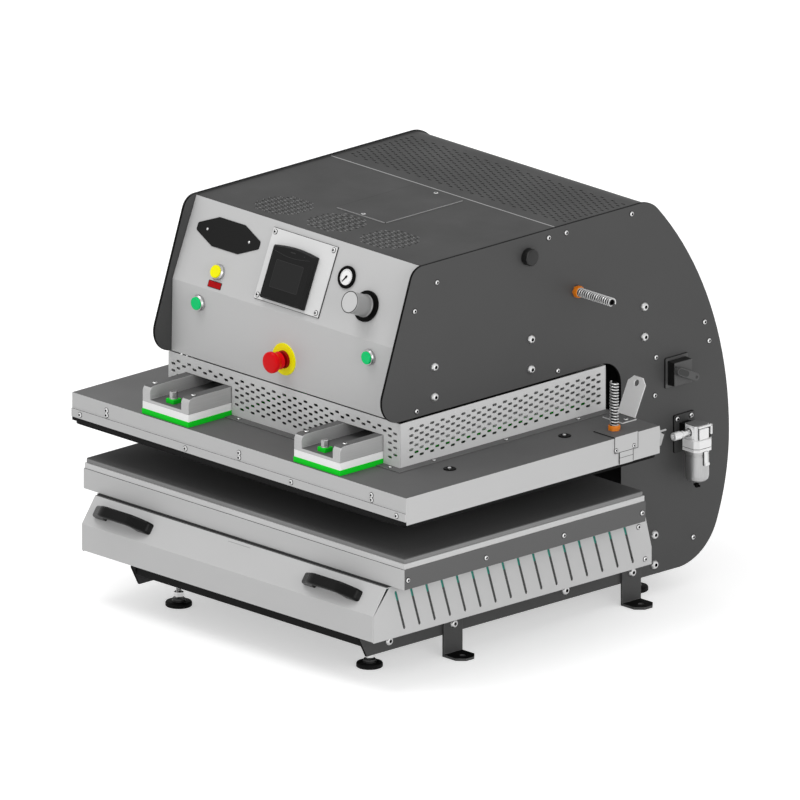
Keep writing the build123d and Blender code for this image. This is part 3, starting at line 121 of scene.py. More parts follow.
class HeatPressColours(bpy.types.PropertyGroup):
    plates: colour_property("Side plates", level(72), "Dark powder coat of the side plates")
    # Painted light and shade: casing top and head top are one dark coat, the casing top painted lighter
    # against the head's shadow and the head top darker under its stronger light.
    tops: colour_property("Casing top", level(94), "Dark powder coat of the casing's level sheets")
    head_tops: colour_property("Head top", level(60), "Dark powder coat of the covers on the head")
    panels: colour_property("Light panels", level(200), "Light powder coat of fascia and drawer")
    casing: colour_property("Upper casing", level(196), "Light powder coat of the upper casing")
    blacks: colour_property("Black parts", level(16), "Black paint and moulded plastic")
    chassis: colour_property("Drawer chassis", tone(20, 128, 112), "Paint behind the drawer's slots")
    start: colour_property("Start buttons", tone(0, 212, 118), "Caps of the two start buttons")
    lamp: colour_property("Yellow button", tone(255, 250, 0), "Cap of the yellow button")
    stop: colour_property("Stop button", tone(222, 0, 10), "Head of the emergency stop")
    gland: colour_property("Cable glands", tone(236, 132, 8), "Orange gland nuts")
    # Painted light: set lighter to offset the casing's shadow on the pad.
    pad: colour_property("Foam pad", level(92), "Top of the foam pad")


class HeatPressSizes(bpy.types.PropertyGroup):
    edge: length_property("Edge round", 0.0006, "Rounding of folded and cut sheet edges")
    slot_length: length_property("Slot length", 0.011, "Length of a slot in the guard")
    slot_width: length_property("Slot width", 0.0048, "Width of a slot in the guard")
    slot_pitch: length_property("Slot pitch", 0.0279, "Distance between slots in a row of the guard")
    sheet: length_property("Sheet", 0.0014, "Thickness of the perforated sheets")
    bolt_head: length_property("Bolt head", 0.0085, "Radius of a domed bolt head")
    screw_head: length_property("Screw head", 0.0046, "Radius of a small screw head")
    spring_wire: length_property("Spring wire", 0.0015, "Radius of the wire of a bend protector")
    spring_radius: length_property("Spring radius", 0.0071, "Radius of a bend protector to its wire's middle")
    spring_pitch: length_property("Spring pitch", 0.0056, "Rise of a bend protector in one turn")
    dial_ticks: bpy.props.IntProperty(
        name="Dial marks", description="Marks round the pressure dial", default=31, min=2, max=91
    )


def sizes():
    return bpy.context.scene.heat_press_sizes


def colours():
    return bpy.context.scene.heat_press_colours


class Wiring:
    """Adds nodes to a tree and joins them."""

    def __init__(self, tree):
        self.tree = tree

    def add(self, kind, inputs=None, **settings):
        node = self.tree.nodes.new(kind)
        for key, value in settings.items():
            setattr(node, key, value)
        for key, value in (inputs or {}).items():
            if isinstance(value, bpy.types.NodeSocket):
                self.tree.links.new(value, node.inputs[key])
            else:
                node.inputs[key].default_value = value
        return node

    def link(self, sources, sockets):
        """Joins each output to the socket of its name."""
        for name, source in sources.items():
            self.tree.links.new(source, sockets[name])

    def math(self, operation, first, second):
        return self.add("ShaderNodeMath", {0: first, 1: second}, operation=operation).outputs[0]

    def noise(self, vector, scale, detail=2.0):
        node = self.add("ShaderNodeTexNoise", {"Vector": vector, "Scale": scale, "Detail": detail})
        return node.outputs["Fac"]

    def remap(self, value, low, high, to_low=0.0, to_high=1.0):
        node = self.add("ShaderNodeMapRange", {0: value, 1: low, 2: high, 3: to_low, 4: to_high})
        return node.outputs[0]

    def about(self, value, low, high, middle, spread):
        """A value remapped to a spread about a middle."""
        least = self.math("SUBTRACT", middle, spread)
        most = self.math("ADD", middle, spread)
        return self.remap(value, low, high, least, most)

    def shaded(self, colour, value):
        """The colour made lighter or darker."""
        return self.add("ShaderNodeHueSaturation", {"Color": colour, "Value": value}).outputs[0]

    def mix(self, share, first, second):
        """The colour between two, by share."""
        return self.add("ShaderNodeMix", {0: share, 6: first, 7: second}, data_type="RGBA").outputs[2]

    def bump(self, depth, height):
        return self.add("ShaderNodeBump", {"Distance": depth, "Height": height}).outputs[0]

    def spot(self):
        return self.add("ShaderNodeTexCoord").outputs["Object"]

    def mark(self, name):
        """An attribute that the piece's faces carry."""
        return self.add("ShaderNodeAttribute", attribute_name=name).outputs["Fac"]


def open_group(label, inputs, outputs):
    """A new shader node group with named sockets."""
    kinds = {"value": "NodeSocketFloat", "colour": "NodeSocketColor", "vector": "NodeSocketVector"}
    tree = bpy.data.node_groups.new(label, "ShaderNodeTree")
    for name, kind, value in inputs:
        socket = tree.interface.new_socket(name, in_out="INPUT", socket_type=kinds[kind])
        socket.default_value = value
    for name, kind in outputs:
        tree.interface.new_socket(name, in_out="OUTPUT", socket_type=kinds[kind])
    wiring = Wiring(tree)
    return wiring, wiring.add("NodeGroupInput").outputs, wiring.add("NodeGroupOutput").inputs


COLOUR_IN = ("Colour", "colour", MID_GREY)
COLOUR_OUT = [("Colour", "colour")]
SURFACE_OUT = [*COLOUR_OUT, ("Roughness", "value"), ("Normal", "vector")]


def make_grain_group():
    """Orange peel of powder coat and the grain of moulded plastic."""
    wiring, given, put = open_group("Surface grain", [
        COLOUR_IN, ("Mottle", "value", 0.03), ("Grain size", "value", 0.001),
        ("Grain depth", "value", 0.00003), ("Roughness", "value", 0.5), ("Spread", "value", 0.06),
    ], SURFACE_OUT)
    spot = wiring.spot()
    blotch = wiring.noise(spot, 9.0, 4.0)
    fine = wiring.noise(spot, wiring.math("DIVIDE", 1.0, given["Grain size"]), 1.0)
    shade = wiring.about(blotch, 0.3, 0.7, 1.0, given["Mottle"])
    wiring.link({
        "Colour": wiring.shaded(given["Colour"], shade),
        "Roughness": wiring.about(blotch, 0.3, 0.7, given["Roughness"], given["Spread"]),
        "Normal": wiring.bump(given["Grain depth"], fine),
    }, put)
    return wiring.tree


def make_streak_group():
    """Fine streaks left by grinding, brushing or turning."""
    wiring, given, put = open_group("Tool streaks", [
        COLOUR_IN, ("Across", "vector", (900, 20, 900)), ("Contrast", "value", 0.08),
        ("Roughness", "value", 0.3), ("Depth", "value", 0.00001),
    ], SURFACE_OUT)
    spot = wiring.spot()
    stretched = wiring.add("ShaderNodeVectorMath", {0: spot, 1: given["Across"]}, operation="MULTIPLY")
    streak = wiring.noise(stretched.outputs[0], 1.0, 3.0)
    blotch = wiring.noise(spot, 14.0, 3.0)
    shade = wiring.about(streak, 0.25, 0.75, 1.0, given["Contrast"])
    wiring.link({
        "Colour": wiring.shaded(given["Colour"], shade),
        "Roughness": wiring.math("ADD", given["Roughness"], wiring.remap(blotch, 0.3, 0.7, -0.05, 0.08)),
        "Normal": wiring.bump(given["Depth"], streak),
    }, put)
    return wiring.tree


def make_wear_group():
    """Paint rubbed thin along eased edges, which carry an edge attribute."""
    wiring, given, put = open_group(
        "Edge wear", [COLOUR_IN, ("Worn", "colour", PALE_WEAR), ("Amount", "value", 0.3)], COLOUR_OUT
    )
    patch = wiring.remap(wiring.noise(wiring.spot(), 70.0, 4.0), 0.35, 0.6, 0.25, 1.0)
    share = wiring.math("MULTIPLY", wiring.math("MULTIPLY", wiring.mark("edge"), patch), given["Amount"])
    wiring.link({"Colour": wiring.mix(share, given["Colour"], given["Worn"])}, put)
    return wiring.tree


def make_dust_group():
    """A little dust on level surfaces."""
    wiring, given, put = open_group("Settled dust", [COLOUR_IN, ("Amount", "value", 0.05)], COLOUR_OUT)
    spot = wiring.spot()
    facing = wiring.add("ShaderNodeSeparateXYZ", {0: wiring.add("ShaderNodeNewGeometry").outputs["Normal"]})
    lying = wiring.remap(facing.outputs[2], 0.75, 1.0)
    patch = wiring.remap(wiring.noise(spot, 6.0, 6.0), 0.4, 0.7)
    speck = wiring.remap(wiring.noise(spot, 420.0), 0.55, 0.75)
    cover = wiring.math("ADD", wiring.math("MULTIPLY", patch, 0.6), wiring.math("MULTIPLY", speck, 0.4))
    share = wiring.math("MULTIPLY", wiring.math("MULTIPLY", lying, cover), given["Amount"])
    wiring.link({"Colour": wiring.mix(share, given["Colour"], level(170))}, put)
    return wiring.tree


def make_foam_group():
    """Pores and faint press marks of silicone foam."""
    wiring, given, put = open_group(
        "Foam pores", [COLOUR_IN, ("Pore size", "value", 0.0018), ("Depth", "value", 0.00008)], SURFACE_OUT
    )
    spot = wiring.spot()
    scale = wiring.math("DIVIDE", 1.0, given["Pore size"])
    pores = wiring.add("ShaderNodeTexVoronoi", {"Vector": spot, "Scale": scale}).outputs["Distance"]
    blotch = wiring.noise(spot, 5.0, 4.0)
    uneven = wiring.remap(blotch, 0.3, 0.7, 0.93, 1.07)
    shade = wiring.math("MULTIPLY", uneven, wiring.remap(pores, 0.0, 0.5, 0.9, 1.04))
    wiring.link({
        "Colour": wiring.shaded(given["Colour"], shade),
        "Roughness": wiring.remap(blotch, 0.3, 0.7, 0.78, 0.92),
        "Normal": wiring.bump(given["Depth"], pores),
    }, put)
    return wiring.tree


def make_recess_shade_group():
    """Painted shade inside a screw's recess and round its seat, on faces that carry a recess attribute."""
    wiring, given, put = open_group("Painted recess shade", [COLOUR_IN], COLOUR_OUT)
    wiring.link({"Colour": wiring.mix(wiring.mark("recess"), given["Colour"], level(14))}, put)
    return wiring.tree


def make_band_group():
    """A second colour above a height, with a soft uneven edge."""
    wiring, given, put = open_group("Painted band", [
        ("Below", "colour", (0, 0, 0, 1)), ("Above", "colour", (1, 1, 1, 1)), ("Height", "value", 0.17),
    ], COLOUR_OUT)
    spot = wiring.spot()
    height = wiring.add("ShaderNodeSeparateXYZ", {0: spot}).outputs[2]
    uneven = wiring.math("MULTIPLY", wiring.noise(spot, 60.0), 0.003)
    over = wiring.math("SUBTRACT", wiring.math("ADD", height, uneven), given["Height"])
    share = wiring.remap(over, 0.0, 0.002)
    wiring.link({"Colour": wiring.mix(share, given["Below"], given["Above"])}, put)
    return wiring.tree


GROUP_MAKERS = {
    "Surface grain": make_grain_group,
    "Tool streaks": make_streak_group,
    "Edge wear": make_wear_group,
    "Settled dust": make_dust_group,
    "Foam pores": make_foam_group,
    "Painted recess shade": make_recess_shade_group,
    "Painted band": make_band_group,
}


def use_group(wiring, label, inputs):
    """The outputs of a node that holds one of the shared groups."""
    tree = bpy.data.node_groups.get(label) or GROUP_MAKERS[label]()
    return wiring.add("ShaderNodeGroup", inputs, node_tree=tree).outputs


def start_material(name, metallic=0.0, coat=0.0, shine=0.5):
    material = bpy.data.materials.new(name)
    material.use_nodes = True
    wiring = Wiring(material.node_tree)
    shader = material.node_tree.nodes["Principled BSDF"]
    shader.inputs["Metallic"].default_value = metallic
    shader.inputs["Coat Weight"].default_value = coat
    shader.inputs["Specular IOR Level"].default_value = shine
    return material, wiring, shader


def join_surface(wiring, shader, surface, colour):
    wiring.link({
        "Base Color": colour, "Roughness": surface["Roughness"], "Normal": surface["Normal"],
    }, shader.inputs)


def coated(name, colour, rough=0.5, mottle=0.025, wear=0.3, worn=level(150), dust=0.04, shine=0.4,
           above=None):
    """Powder coat or paint on sheet metal, with a second colour above a height if one is given."""
    material, wiring, shader = start_material(name, shine=shine)
    paint = colour
    if above:
        band = use_group(wiring, "Painted band", {"Below": colour, "Above": above[0], "Height": above[1]})
        paint = band["Colour"]
    surface = use_group(wiring, "Surface grain", {
        "Colour": paint, "Mottle": mottle, "Grain size": 0.0011, "Grain depth": 0.00003, "Roughness": rough,
    })
    rubbed = use_group(wiring, "Edge wear", {"Colour": surface["Colour"], "Worn": worn, "Amount": wear})
    dusty = use_group(wiring, "Settled dust", {"Colour": rubbed["Colour"], "Amount": dust})
    join_surface(wiring, shader, surface, dusty["Colour"])
    return material


def moulded(name, colour, rough=0.35, mottle=0.02, grain=0.0006, depth=0.00001, coat=0.0, shine=0.4):
    """Moulded plastic, painted board and the like."""
    material, wiring, shader = start_material(name, coat=coat, shine=shine)
    surface = use_group(wiring, "Surface grain", {
        "Colour": colour, "Mottle": mottle, "Grain size": grain, "Grain depth": depth, "Roughness": rough,
    })
    dusty = use_group(wiring, "Settled dust", {"Colour": surface["Colour"], "Amount": 0.02})
    join_surface(wiring, shader, surface, dusty["Colour"])
    return material


def board(name, colour, rough, mottle):
    """Painted insulation board."""
    return moulded(name, colour, rough, mottle, grain=0.002, depth=0.00005, shine=0.2)


def machined(name, colour, across=(900, 20, 900), rough=0.3, contrast=0.06, metallic=1.0):
    """Ground, brushed, turned or plated metal."""
    material, wiring, shader = start_material(name, metallic=metallic)
    surface = use_group(wiring, "Tool streaks", {
        "Colour": colour, "Across": across, "Contrast": contrast, "Roughness": rough, "Depth": 0.000008,
    })
    # Painted shade: faces marked as a recess or a screw's seat are darkened.
    recess_shaded = use_group(wiring, "Painted recess shade", {"Colour": surface["Colour"]})
    join_surface(wiring, shader, surface, recess_shaded["Colour"])
    return material


def foam(name, colour):
    """Silicone foam."""
    material, wiring, shader = start_material(name, shine=0.2)
    surface = use_group(wiring, "Foam pores", {"Colour": colour})
    join_surface(wiring, shader, surface, surface["Colour"])
    return material


def build_finish(name):
    """One material of the press by its name."""
    paint = colours()
    makers = {
        "plate coat": lambda: coated(name, paint.plates, 0.55, shine=0.3),
        "plate edge and painted shade": lambda: coated(name, level(12), 0.6, wear=0.1, worn=level(40), dust=0.0, shine=0.06),
        # Painted shade: this coat darkens the level top faces of pieces whose sides are light.
        "top coat with painted shade": lambda: coated(name, paint.tops, 0.55, dust=0.03, shine=0.2),
        # Painted shade: a darker copy of the top coat, set against the stronger light on the head.
        "head coat": lambda: coated(name, paint.head_tops, 0.55, dust=0.03, shine=0.12),
        "panel coat": lambda: coated(name, paint.panels, 0.45, mottle=0.012, worn=level(225)),
        "casing coat": lambda: coated(name, paint.casing, 0.45, mottle=0.012, worn=level(225)),
        # Painted light: lighter than the casing's coat, to offset the shade that the fascia casts on the
        # guard.
        "guard coat with painted light": lambda: coated(name, level(214), 0.45, mottle=0.012, worn=level(225)),
        "black coat": lambda: coated(name, paint.blacks, 0.45, worn=level(60), dust=0.0, shine=0.08),
        "flange coat and painted shade": lambda: coated(name, level(90), 0.5, worn=level(150)),
        "seam grey and painted highlight": lambda: coated(name, level(160), 0.5, wear=0.1),
        "bracket coat": lambda: coated(name, level(226), 0.45, mottle=0.012, worn=level(225)),
        # Painted shade seen through the rear cover's slots.
        "screen grey painted shade": lambda: coated(name, level(112), 0.6, wear=0.0, dust=0.0),
        "vent grey painted light": lambda: coated(name, level(166), 0.6, wear=0.0, dust=0.0),
        "gap black and painted shade": lambda: coated(name, level(34), 0.7, wear=0.0, dust=0.0),
        # Painted shade: the chassis is dark below a height, where shade falls inside the cover's slots, and
        # teal above.
        "chassis paint with painted shade": lambda: coated(name, level(62), 0.4, worn=level(120), above=(paint.chassis, 0.168)),
        "zinc plating": lambda: machined(name, level(206), (300, 300, 300), 0.34, 0.1),
        "bright steel": lambda: machined(name, level(190), (40, 700, 700), 0.3, 0.05),
        "spring steel": lambda: machined(name, level(196), (400, 400, 400), 0.36, 0.08),
        "ground steel": lambda: machined(name, level(190), (900, 14, 900), 0.42, 0.07, metallic=0.3),
        "chrome": lambda: machined(name, level(225), (500, 500, 30), 0.09, 0.02),
        "aluminium edge": lambda: machined(name, level(196), (14, 14, 1500), 0.4, 0.05, metallic=0.4),
        "heater black": lambda: coated(name, level(10), 0.5, worn=level(40), dust=0.0, shine=0.08),
        "black plastic": lambda: moulded(name, level(6), 0.28, shine=0.07),
        "dark plastic": lambda: moulded(name, level(38), 0.42),
        "switch plastic": lambda: moulded(name, level(82), 0.4, shine=0.3),
        "shadow plastic": lambda: moulded(name, level(24), 0.4, shine=0.2),
        "white plastic": lambda: moulded(name, level(246), 0.35),
        "filter grey": lambda: moulded(name, level(116), 0.4),
        "filter plate grey": lambda: coated(name, level(64), 0.5, dust=0.0, shine=0.2),
        "cap black": lambda: moulded(name, level(26), 0.32, shine=0.35),
        "handle black": lambda: moulded(name, level(7), 0.26, shine=0.13),
        "controller plate": lambda: moulded(name, level(226), 0.4, grain=0.0009),
        "case black": lambda: moulded(name, level(30), 0.45, shine=0.08),
        "display black": lambda: moulded(name, level(40), 0.4, depth=0.000001, shine=0.08),
        "case line": lambda: moulded(name, level(54), 0.5, shine=0.1),
        "ring black": lambda: moulded(name, level(4), 0.4, shine=0.05),
        "dial white": lambda: moulded(name, level(252), 0.5),
        "rubber black": lambda: moulded(name, level(18), 0.6, grain=0.0012, depth=0.00004, shine=0.1),
        "bolt grey": lambda: machined(name, level(168), (300, 300, 300), 0.3, 0.08),
        "crown metal": lambda: machined(name, level(84), (300, 300, 300), 0.4, 0.08),
        "white board": lambda: board(name, level(251), 0.8, 0.03),
        "green board": lambda: board(name, tone(0, 214, 34), 0.7, 0.05),
        "start plastic": lambda: moulded(name, paint.start, 0.4, shine=0.15),
        "lamp plastic": lambda: moulded(name, paint.lamp, 0.4, shine=0.15),
        "stop plastic": lambda: moulded(name, paint.stop, 0.3, shine=0.12),
        "tag red": lambda: moulded(name, tone(176, 6, 12), 0.5, shine=0.1),
        "collar red": lambda: moulded(name, tone(150, 2, 6), 0.4, shine=0.12),
        "fitting metal": lambda: machined(name, level(232), (400, 400, 400), 0.3, 0.04, metallic=0.4),
        "flap coat": lambda: coated(name, level(176), 0.45, mottle=0.012, worn=level(200)),
        "disc yellow": lambda: moulded(name, tone(255, 250, 0), 0.5, shine=0.2),
        "gland orange": lambda: moulded(name, paint.gland, 0.35, coat=0.2),
        "bowl metal": lambda: machined(name, level(176), (500, 500, 60), 0.3, 0.06, metallic=0.85),
        "turned metal": lambda: machined(name, level(168), (30, 900, 900), 0.35, 0.04, metallic=0.45),
        "knob face": lambda: moulded(name, level(206), 0.4),
        "foam top": lambda: foam(name, paint.pad),
        "foam side with painted light": lambda: foam(name, level(136)),
    }
    return makers[name]()


def finish(name):
    return bpy.data.materials.get(name) or build_finish(name)


def place(origin, x_dir=(1, 0, 0), z_dir=(0, 0, 1)):
    """A matrix from millimetres on a plane to metres in the object's frame."""
    x = Vector(x_dir).normalized()
    z = Vector(z_dir).normalized()
    turn = Matrix((x, z.cross(x), z)).transposed().to_4x4()
    return Matrix.Translation(Vector(origin) * MM) @ turn @ Matrix.Scale(MM, 4)


def on_slope(x, up, out=0.0):
    """A place on the fascia's slope."""
    return place(SLOPE_FOOT + Vector((x, 0, 0)) + SLOPE_UP * up + SLOPE_OUT * out, z_dir=SLOPE_OUT)


def on_front(x, z, out=0.0):
    """A place on the fascia's lower part."""
    foot = SLOPE_FOOT + Vector((x, 0, 0)) + FRONT_UP * (z - SLOPE_FOOT.z)
    return place(foot + FRONT_OUT * out, z_dir=FRONT_OUT)


def on_drawer(x, up, out=0.0):
    """A place on the drawer's slope."""
    foot = DRAWER_FOOT + Vector((x, 0, 0))
    return place(foot + DRAWER_UP * up + DRAWER_OUT * out, z_dir=DRAWER_OUT)


def on_side(side, y, z, out=0.0):
    """A place on the outer face of a side plate, 1 for right and -1 for left."""
    return place((side * (PLATE_HALF + out), y, z), x_dir=(0, 1, 0), z_dir=(side, 0, 0))


def facing_right(x, y, z):
    return place((x, y, z), x_dir=(0, 1, 0), z_dir=(1, 0, 0))


def facing_front(x, y, z):
    return place((x, y, z), z_dir=(0, -1, 0))


def facing_back(x, y, z):
    return place((x, y, z), z_dir=(0, 1, 0))


def flat(x, y, z):
    return place((x, y, z))


def unscaled(where):
    """The same place for a mesh in metres."""
    return where @ Matrix.Scale(1 / MM, 4)


def circle(radius, count=32):
    return [
        (radius * math.cos(2 * math.pi * i / count), radius * math.sin(2 * math.pi * i / count))
        for i in range(count)
    ]


def hexagon(across):
    """A hexagon by its width across the flats."""
    corner = across / math.sqrt(3)
    return [(corner * math.cos(math.pi * i / 3), corner * math.sin(math.pi * i / 3)) for i in range(6)]


def rounded(width, height, radius, steps=5):
    """A rectangle with round corners about the middle."""
    points = []
    for turn, (sx, sy) in enumerate(((1, 1), (-1, 1), (-1, -1), (1, -1))):
        centre_x = sx * (width / 2 - radius)
        centre_y = sy * (height / 2 - radius)
        for step in range(steps + 1):
            angle = math.pi / 2 * (turn + step / steps)
            points.append((centre_x + radius * math.cos(angle), centre_y + radius * math.sin(angle)))
    return points


def inset(outline, distance):
    """The outline moved inwards. It runs anticlockwise."""
    moved = []
    for i, here in enumerate(outline):
        before = Vector(outline[i - 1])
        after = Vector(outline[(i + 1) % len(outline)])
        here = Vector(here)
        into = (here - before).normalized()
        out = (after - here).normalized()
        normal_in = Vector((-into.y, into.x))
        normal_out = Vector((-out.y, out.x))
        middle = normal_in + normal_out
        middle = middle / max(0.2, 1 + normal_in.dot(normal_out))
        moved.append(tuple(here + middle * distance))
    return moved


class Shape:
    """A mesh in the making, to which parts are added in millimetres on a place."""

    def __init__(self):
        self.mesh = bmesh.new()
        self.edge = self.mesh.faces.layers.float.new("edge")
        self.recess = self.mesh.faces.layers.float.new("recess")

    def face(self, corners, material=0, mark=0.0, shade_mark=0.0):
        made = self.mesh.faces.new(corners)
        made.material_index = material
        made[self.edge] = mark
        made[self.recess] = shade_mark
        return made

    def ring(self, where, points):
        return [self.mesh.verts.new(where @ Vector(point)) for point in points]

    def bridge(self, low, high, material=0, mark=0.0, shade_mark=0.0):
        for i in range(len(low)):
            j = (i + 1) % len(low)
            kept = []
            for corner in (low[i], low[j], high[j], high[i]):
                if corner not in kept:
                    kept.append(corner)
            if len(kept) > 2:
                self.face(kept, material, mark, shade_mark)

    def lathe(self, where, profile, segments=48, material=0, lid=True):
        """Turns a profile of radius and height, given from the bottom round to the top, and closes it."""
        looped = profile[0] == profile[-1]
        rings = []
        for radius, height in profile[:-1] if looped else profile:
            if radius < 1e-6:
                rings.append([self.mesh.verts.new(where @ Vector((0, 0, height)))] * segments)
            else:
                rings.append(self.ring(where, [(x, y, height) for x, y in circle(radius, segments)]))
        if looped:
            rings.append(rings[0])
        else:
            if profile[0][0] > 0:
                self.face(rings[0][::-1], material)
            if lid and profile[-1][0] > 0:
                self.face(rings[-1], material)
        for low, high in zip(rings, rings[1:]):
            self.bridge(low, high, material)
        return rings[-1]

    def prism(self, where, outline, low, high, ease=0.4, material=0, cap=None):
        """A flat form with an eased upper edge, whose top may have a finish of its own."""
        last = self.ring(where, [(x, y, low) for x, y in outline])
        self.face(last[::-1], material)
        steps = [(0.0, high)]
        if ease > 0:
            steps = [(0.0, high - ease), (ease * 0.3, high - ease * 0.3), (ease, high)]
        for index, (inwards, height) in enumerate(steps):
            points = inset(outline, inwards) if inwards else outline
            ring = self.ring(where, [(x, y, height) for x, y in points])
            self.bridge(last, ring, material, 1.0 if index else 0.0)
            last = ring
        self.face(last, material if cap is None else cap)

    def recess_in(self, where, rim, outline, top, floor):
        """Sinks a recess inside the open rim of a head, its walls and floor marked for painted shade."""
        lip = self.ring(where, [(x, y, top) for x, y in outline])
        bottom = self.ring(where, [(x, y, floor) for x, y in outline])
        self.bridge(rim, lip)
        self.bridge(lip, bottom, shade_mark=1.0)
        self.face(bottom, shade_mark=1.0)

    def box(self, x0, x1, y0, y1, z0, z1, ease=0.4, material=0):
        """A block along the axes of the press."""
        where = flat((x0 + x1) / 2, (y0 + y1) / 2, 0)
        width, depth = (x1 - x0) / 2, (y1 - y0) / 2
        outline = [(-width, -depth), (width, -depth), (width, depth), (-width, depth)]
        self.prism(where, outline, z0, z1, ease, material)

    def loft(self, rings, material=0):
        """Joins closed rings in order and caps both ends."""
        for low, high in zip(rings, rings[1:]):
            self.bridge(low, high, material)
        self.face(rings[0][::-1], material)
        self.face(rings[-1], material)

    def take(self, mesh):
        """Adds a finished mesh, which is then let go."""
        self.mesh.from_mesh(mesh)
        bpy.data.meshes.remove(mesh)

    def done(self, outwards=False):
        """The finished mesh, with its faces turned outwards if asked for."""
        if outwards:
            bmesh.ops.recalc_face_normals(self.mesh, faces=self.mesh.faces)
        mesh = bpy.data.meshes.new("shape")
        self.mesh.to_mesh(mesh)
        self.mesh.free()
        return mesh


def settle(name, mesh, finishes, body, replaced=(), crease=CREASE):
    """Makes a finished mesh a piece of the press."""
    if not mesh.materials:
        for label in finishes:
            mesh.materials.append(finish(label))
    mesh.shade_smooth()
    mesh.set_sharp_from_angle(angle=crease)
    mesh.name = name
    piece = helper(name, mesh)
    normals = piece.modifiers.new("even normals", "WEIGHTED_NORMAL")
    normals.keep_sharp = True
    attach(piece, body)
    if replaced:
        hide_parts(*replaced)
    return piece


def along_y(normal):
    """Whether a face looks forwards or backwards."""
    return abs(normal.y) > 0.6


def shaded_top(face):
    """Painted shade: level top faces take the second, darker finish, as light falls on one piece."""
    return 1 if face.normal.z > 0.8 else 0

def plate_edge(face):
    """Black cut edges, with their rounding."""
    return 1 if abs(face.normal.x) < 0.95 else 0


def casing_face(face):
    """Light sides, painted shade on the level top, and black below the lower strip and along the lower edge.
    """
    low = face.calc_center_median().z < STRIP_FOOT * MM
    return 2 if low and face.normal.z < 0.9 else shaded_top(face)


def bracket_face(face):
    """Painted shade on level top faces, and dark cut edges on the gland cover."""
    hanger = face.calc_center_median().x < HANGER_RIGHT * MM
    if not hanger and along_y(face.normal):
        return 2
    return shaded_top(face) or (3 if hanger else 0)


def worked_copy(node, ease=None, other=None):
    """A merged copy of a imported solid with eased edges, whose faces choose their finish."""
    ease = sizes().edge if ease is None else ease * MM
    weld, flatness = 2e-6, math.radians(0.4)
    work = bmesh.new()
    work.from_mesh(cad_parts[node].data)
    for layer in list(work.loops.layers.uv):
        work.loops.layers.uv.remove(layer)
    bmesh.ops.remove_doubles(work, verts=work.verts, dist=weld)
    bmesh.ops.dissolve_limit(work, angle_limit=flatness, verts=work.verts, edges=work.edges)
    edge = work.faces.layers.float.new("edge")
    if ease > 0:
        sharp = [e for e in work.edges if len(e.link_faces) == 2 and e.calc_face_angle(0) > SHARP_ABOVE]
        made = bmesh.ops.bevel(
            work, geom=sharp, offset=ease, offset_type="OFFSET", segments=2, profile=0.5, affect="EDGES"
        )
        for face in made["faces"]:
            face[edge] = 1.0
    work.normal_update()
    for face in work.faces:
        face.material_index = other(face) if other else 0
    mesh = bpy.data.meshes.new(node)
    work.to_mesh(mesh)
    work.free()
    return mesh


def dress(name, node, finishes, body, ease=None, other=None, crease=EASED_CREASE):
    """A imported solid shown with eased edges."""
    return settle(name, worked_copy(node, ease, other), finishes, body, [node], crease)


def open_geometry(label, inputs):
    """A new geometry node tree with named inputs."""
    kinds = {"object": "NodeSocketObject", "number": "NodeSocketFloat", "material": "NodeSocketMaterial"}
    tree = bpy.data.node_groups.new(label, "GeometryNodeTree")
    tree.interface.new_socket("Geometry", in_out="INPUT", socket_type="NodeSocketGeometry")
    for name, kind in inputs:
        tree.interface.new_socket(name, in_out="INPUT", socket_type=kinds[kind])
    tree.interface.new_socket("Geometry", in_out="OUTPUT", socket_type="NodeSocketGeometry")
    wiring = Wiring(tree)
    return wiring, wiring.add("NodeGroupInput").outputs, wiring.add("NodeGroupOutput").inputs


def close_geometry(wiring, given, put, geometry):
    """Ends a tree in real geometry with its material."""
    real = wiring.add("GeometryNodeRealizeInstances", {0: geometry}).outputs[0]
    painted = wiring.add("GeometryNodeSetMaterial", {"Geometry": real, "Material": given["Finish"]})
    wiring.tree.links.new(painted.outputs[0], put[0])
    return wiring.tree


def on_points(wiring, points, thing):
    """A thing on every point, turned by the point's own attribute."""
    turn = wiring.add("GeometryNodeInputNamedAttribute", {"Name": "turn"}, data_type="FLOAT_VECTOR")
    rotation = wiring.add("FunctionNodeEulerToRotation", {0: turn.outputs[0]})
    return wiring.add("GeometryNodeInstanceOnPoints", {
        "Points": points, "Instance": thing, "Rotation": rotation.outputs[0],
    }).outputs[0]


def joined(wiring, *parts):
    """The parts as one geometry."""
    node = wiring.add("GeometryNodeJoinGeometry")
    for part in parts:
        wiring.tree.links.new(part, node.inputs[0])
    return node.outputs[0]


def make_scatter_tree():
    """Puts a part on every point."""
    wiring, given, put = open_geometry("Parts on points", [("Part", "object"), ("Finish", "material")])
    part = wiring.add("GeometryNodeObjectInfo", {"Object": given["Part"]}).outputs["Geometry"]
    return close_geometry(wiring, given, put, on_points(wiring, given["Geometry"], part))


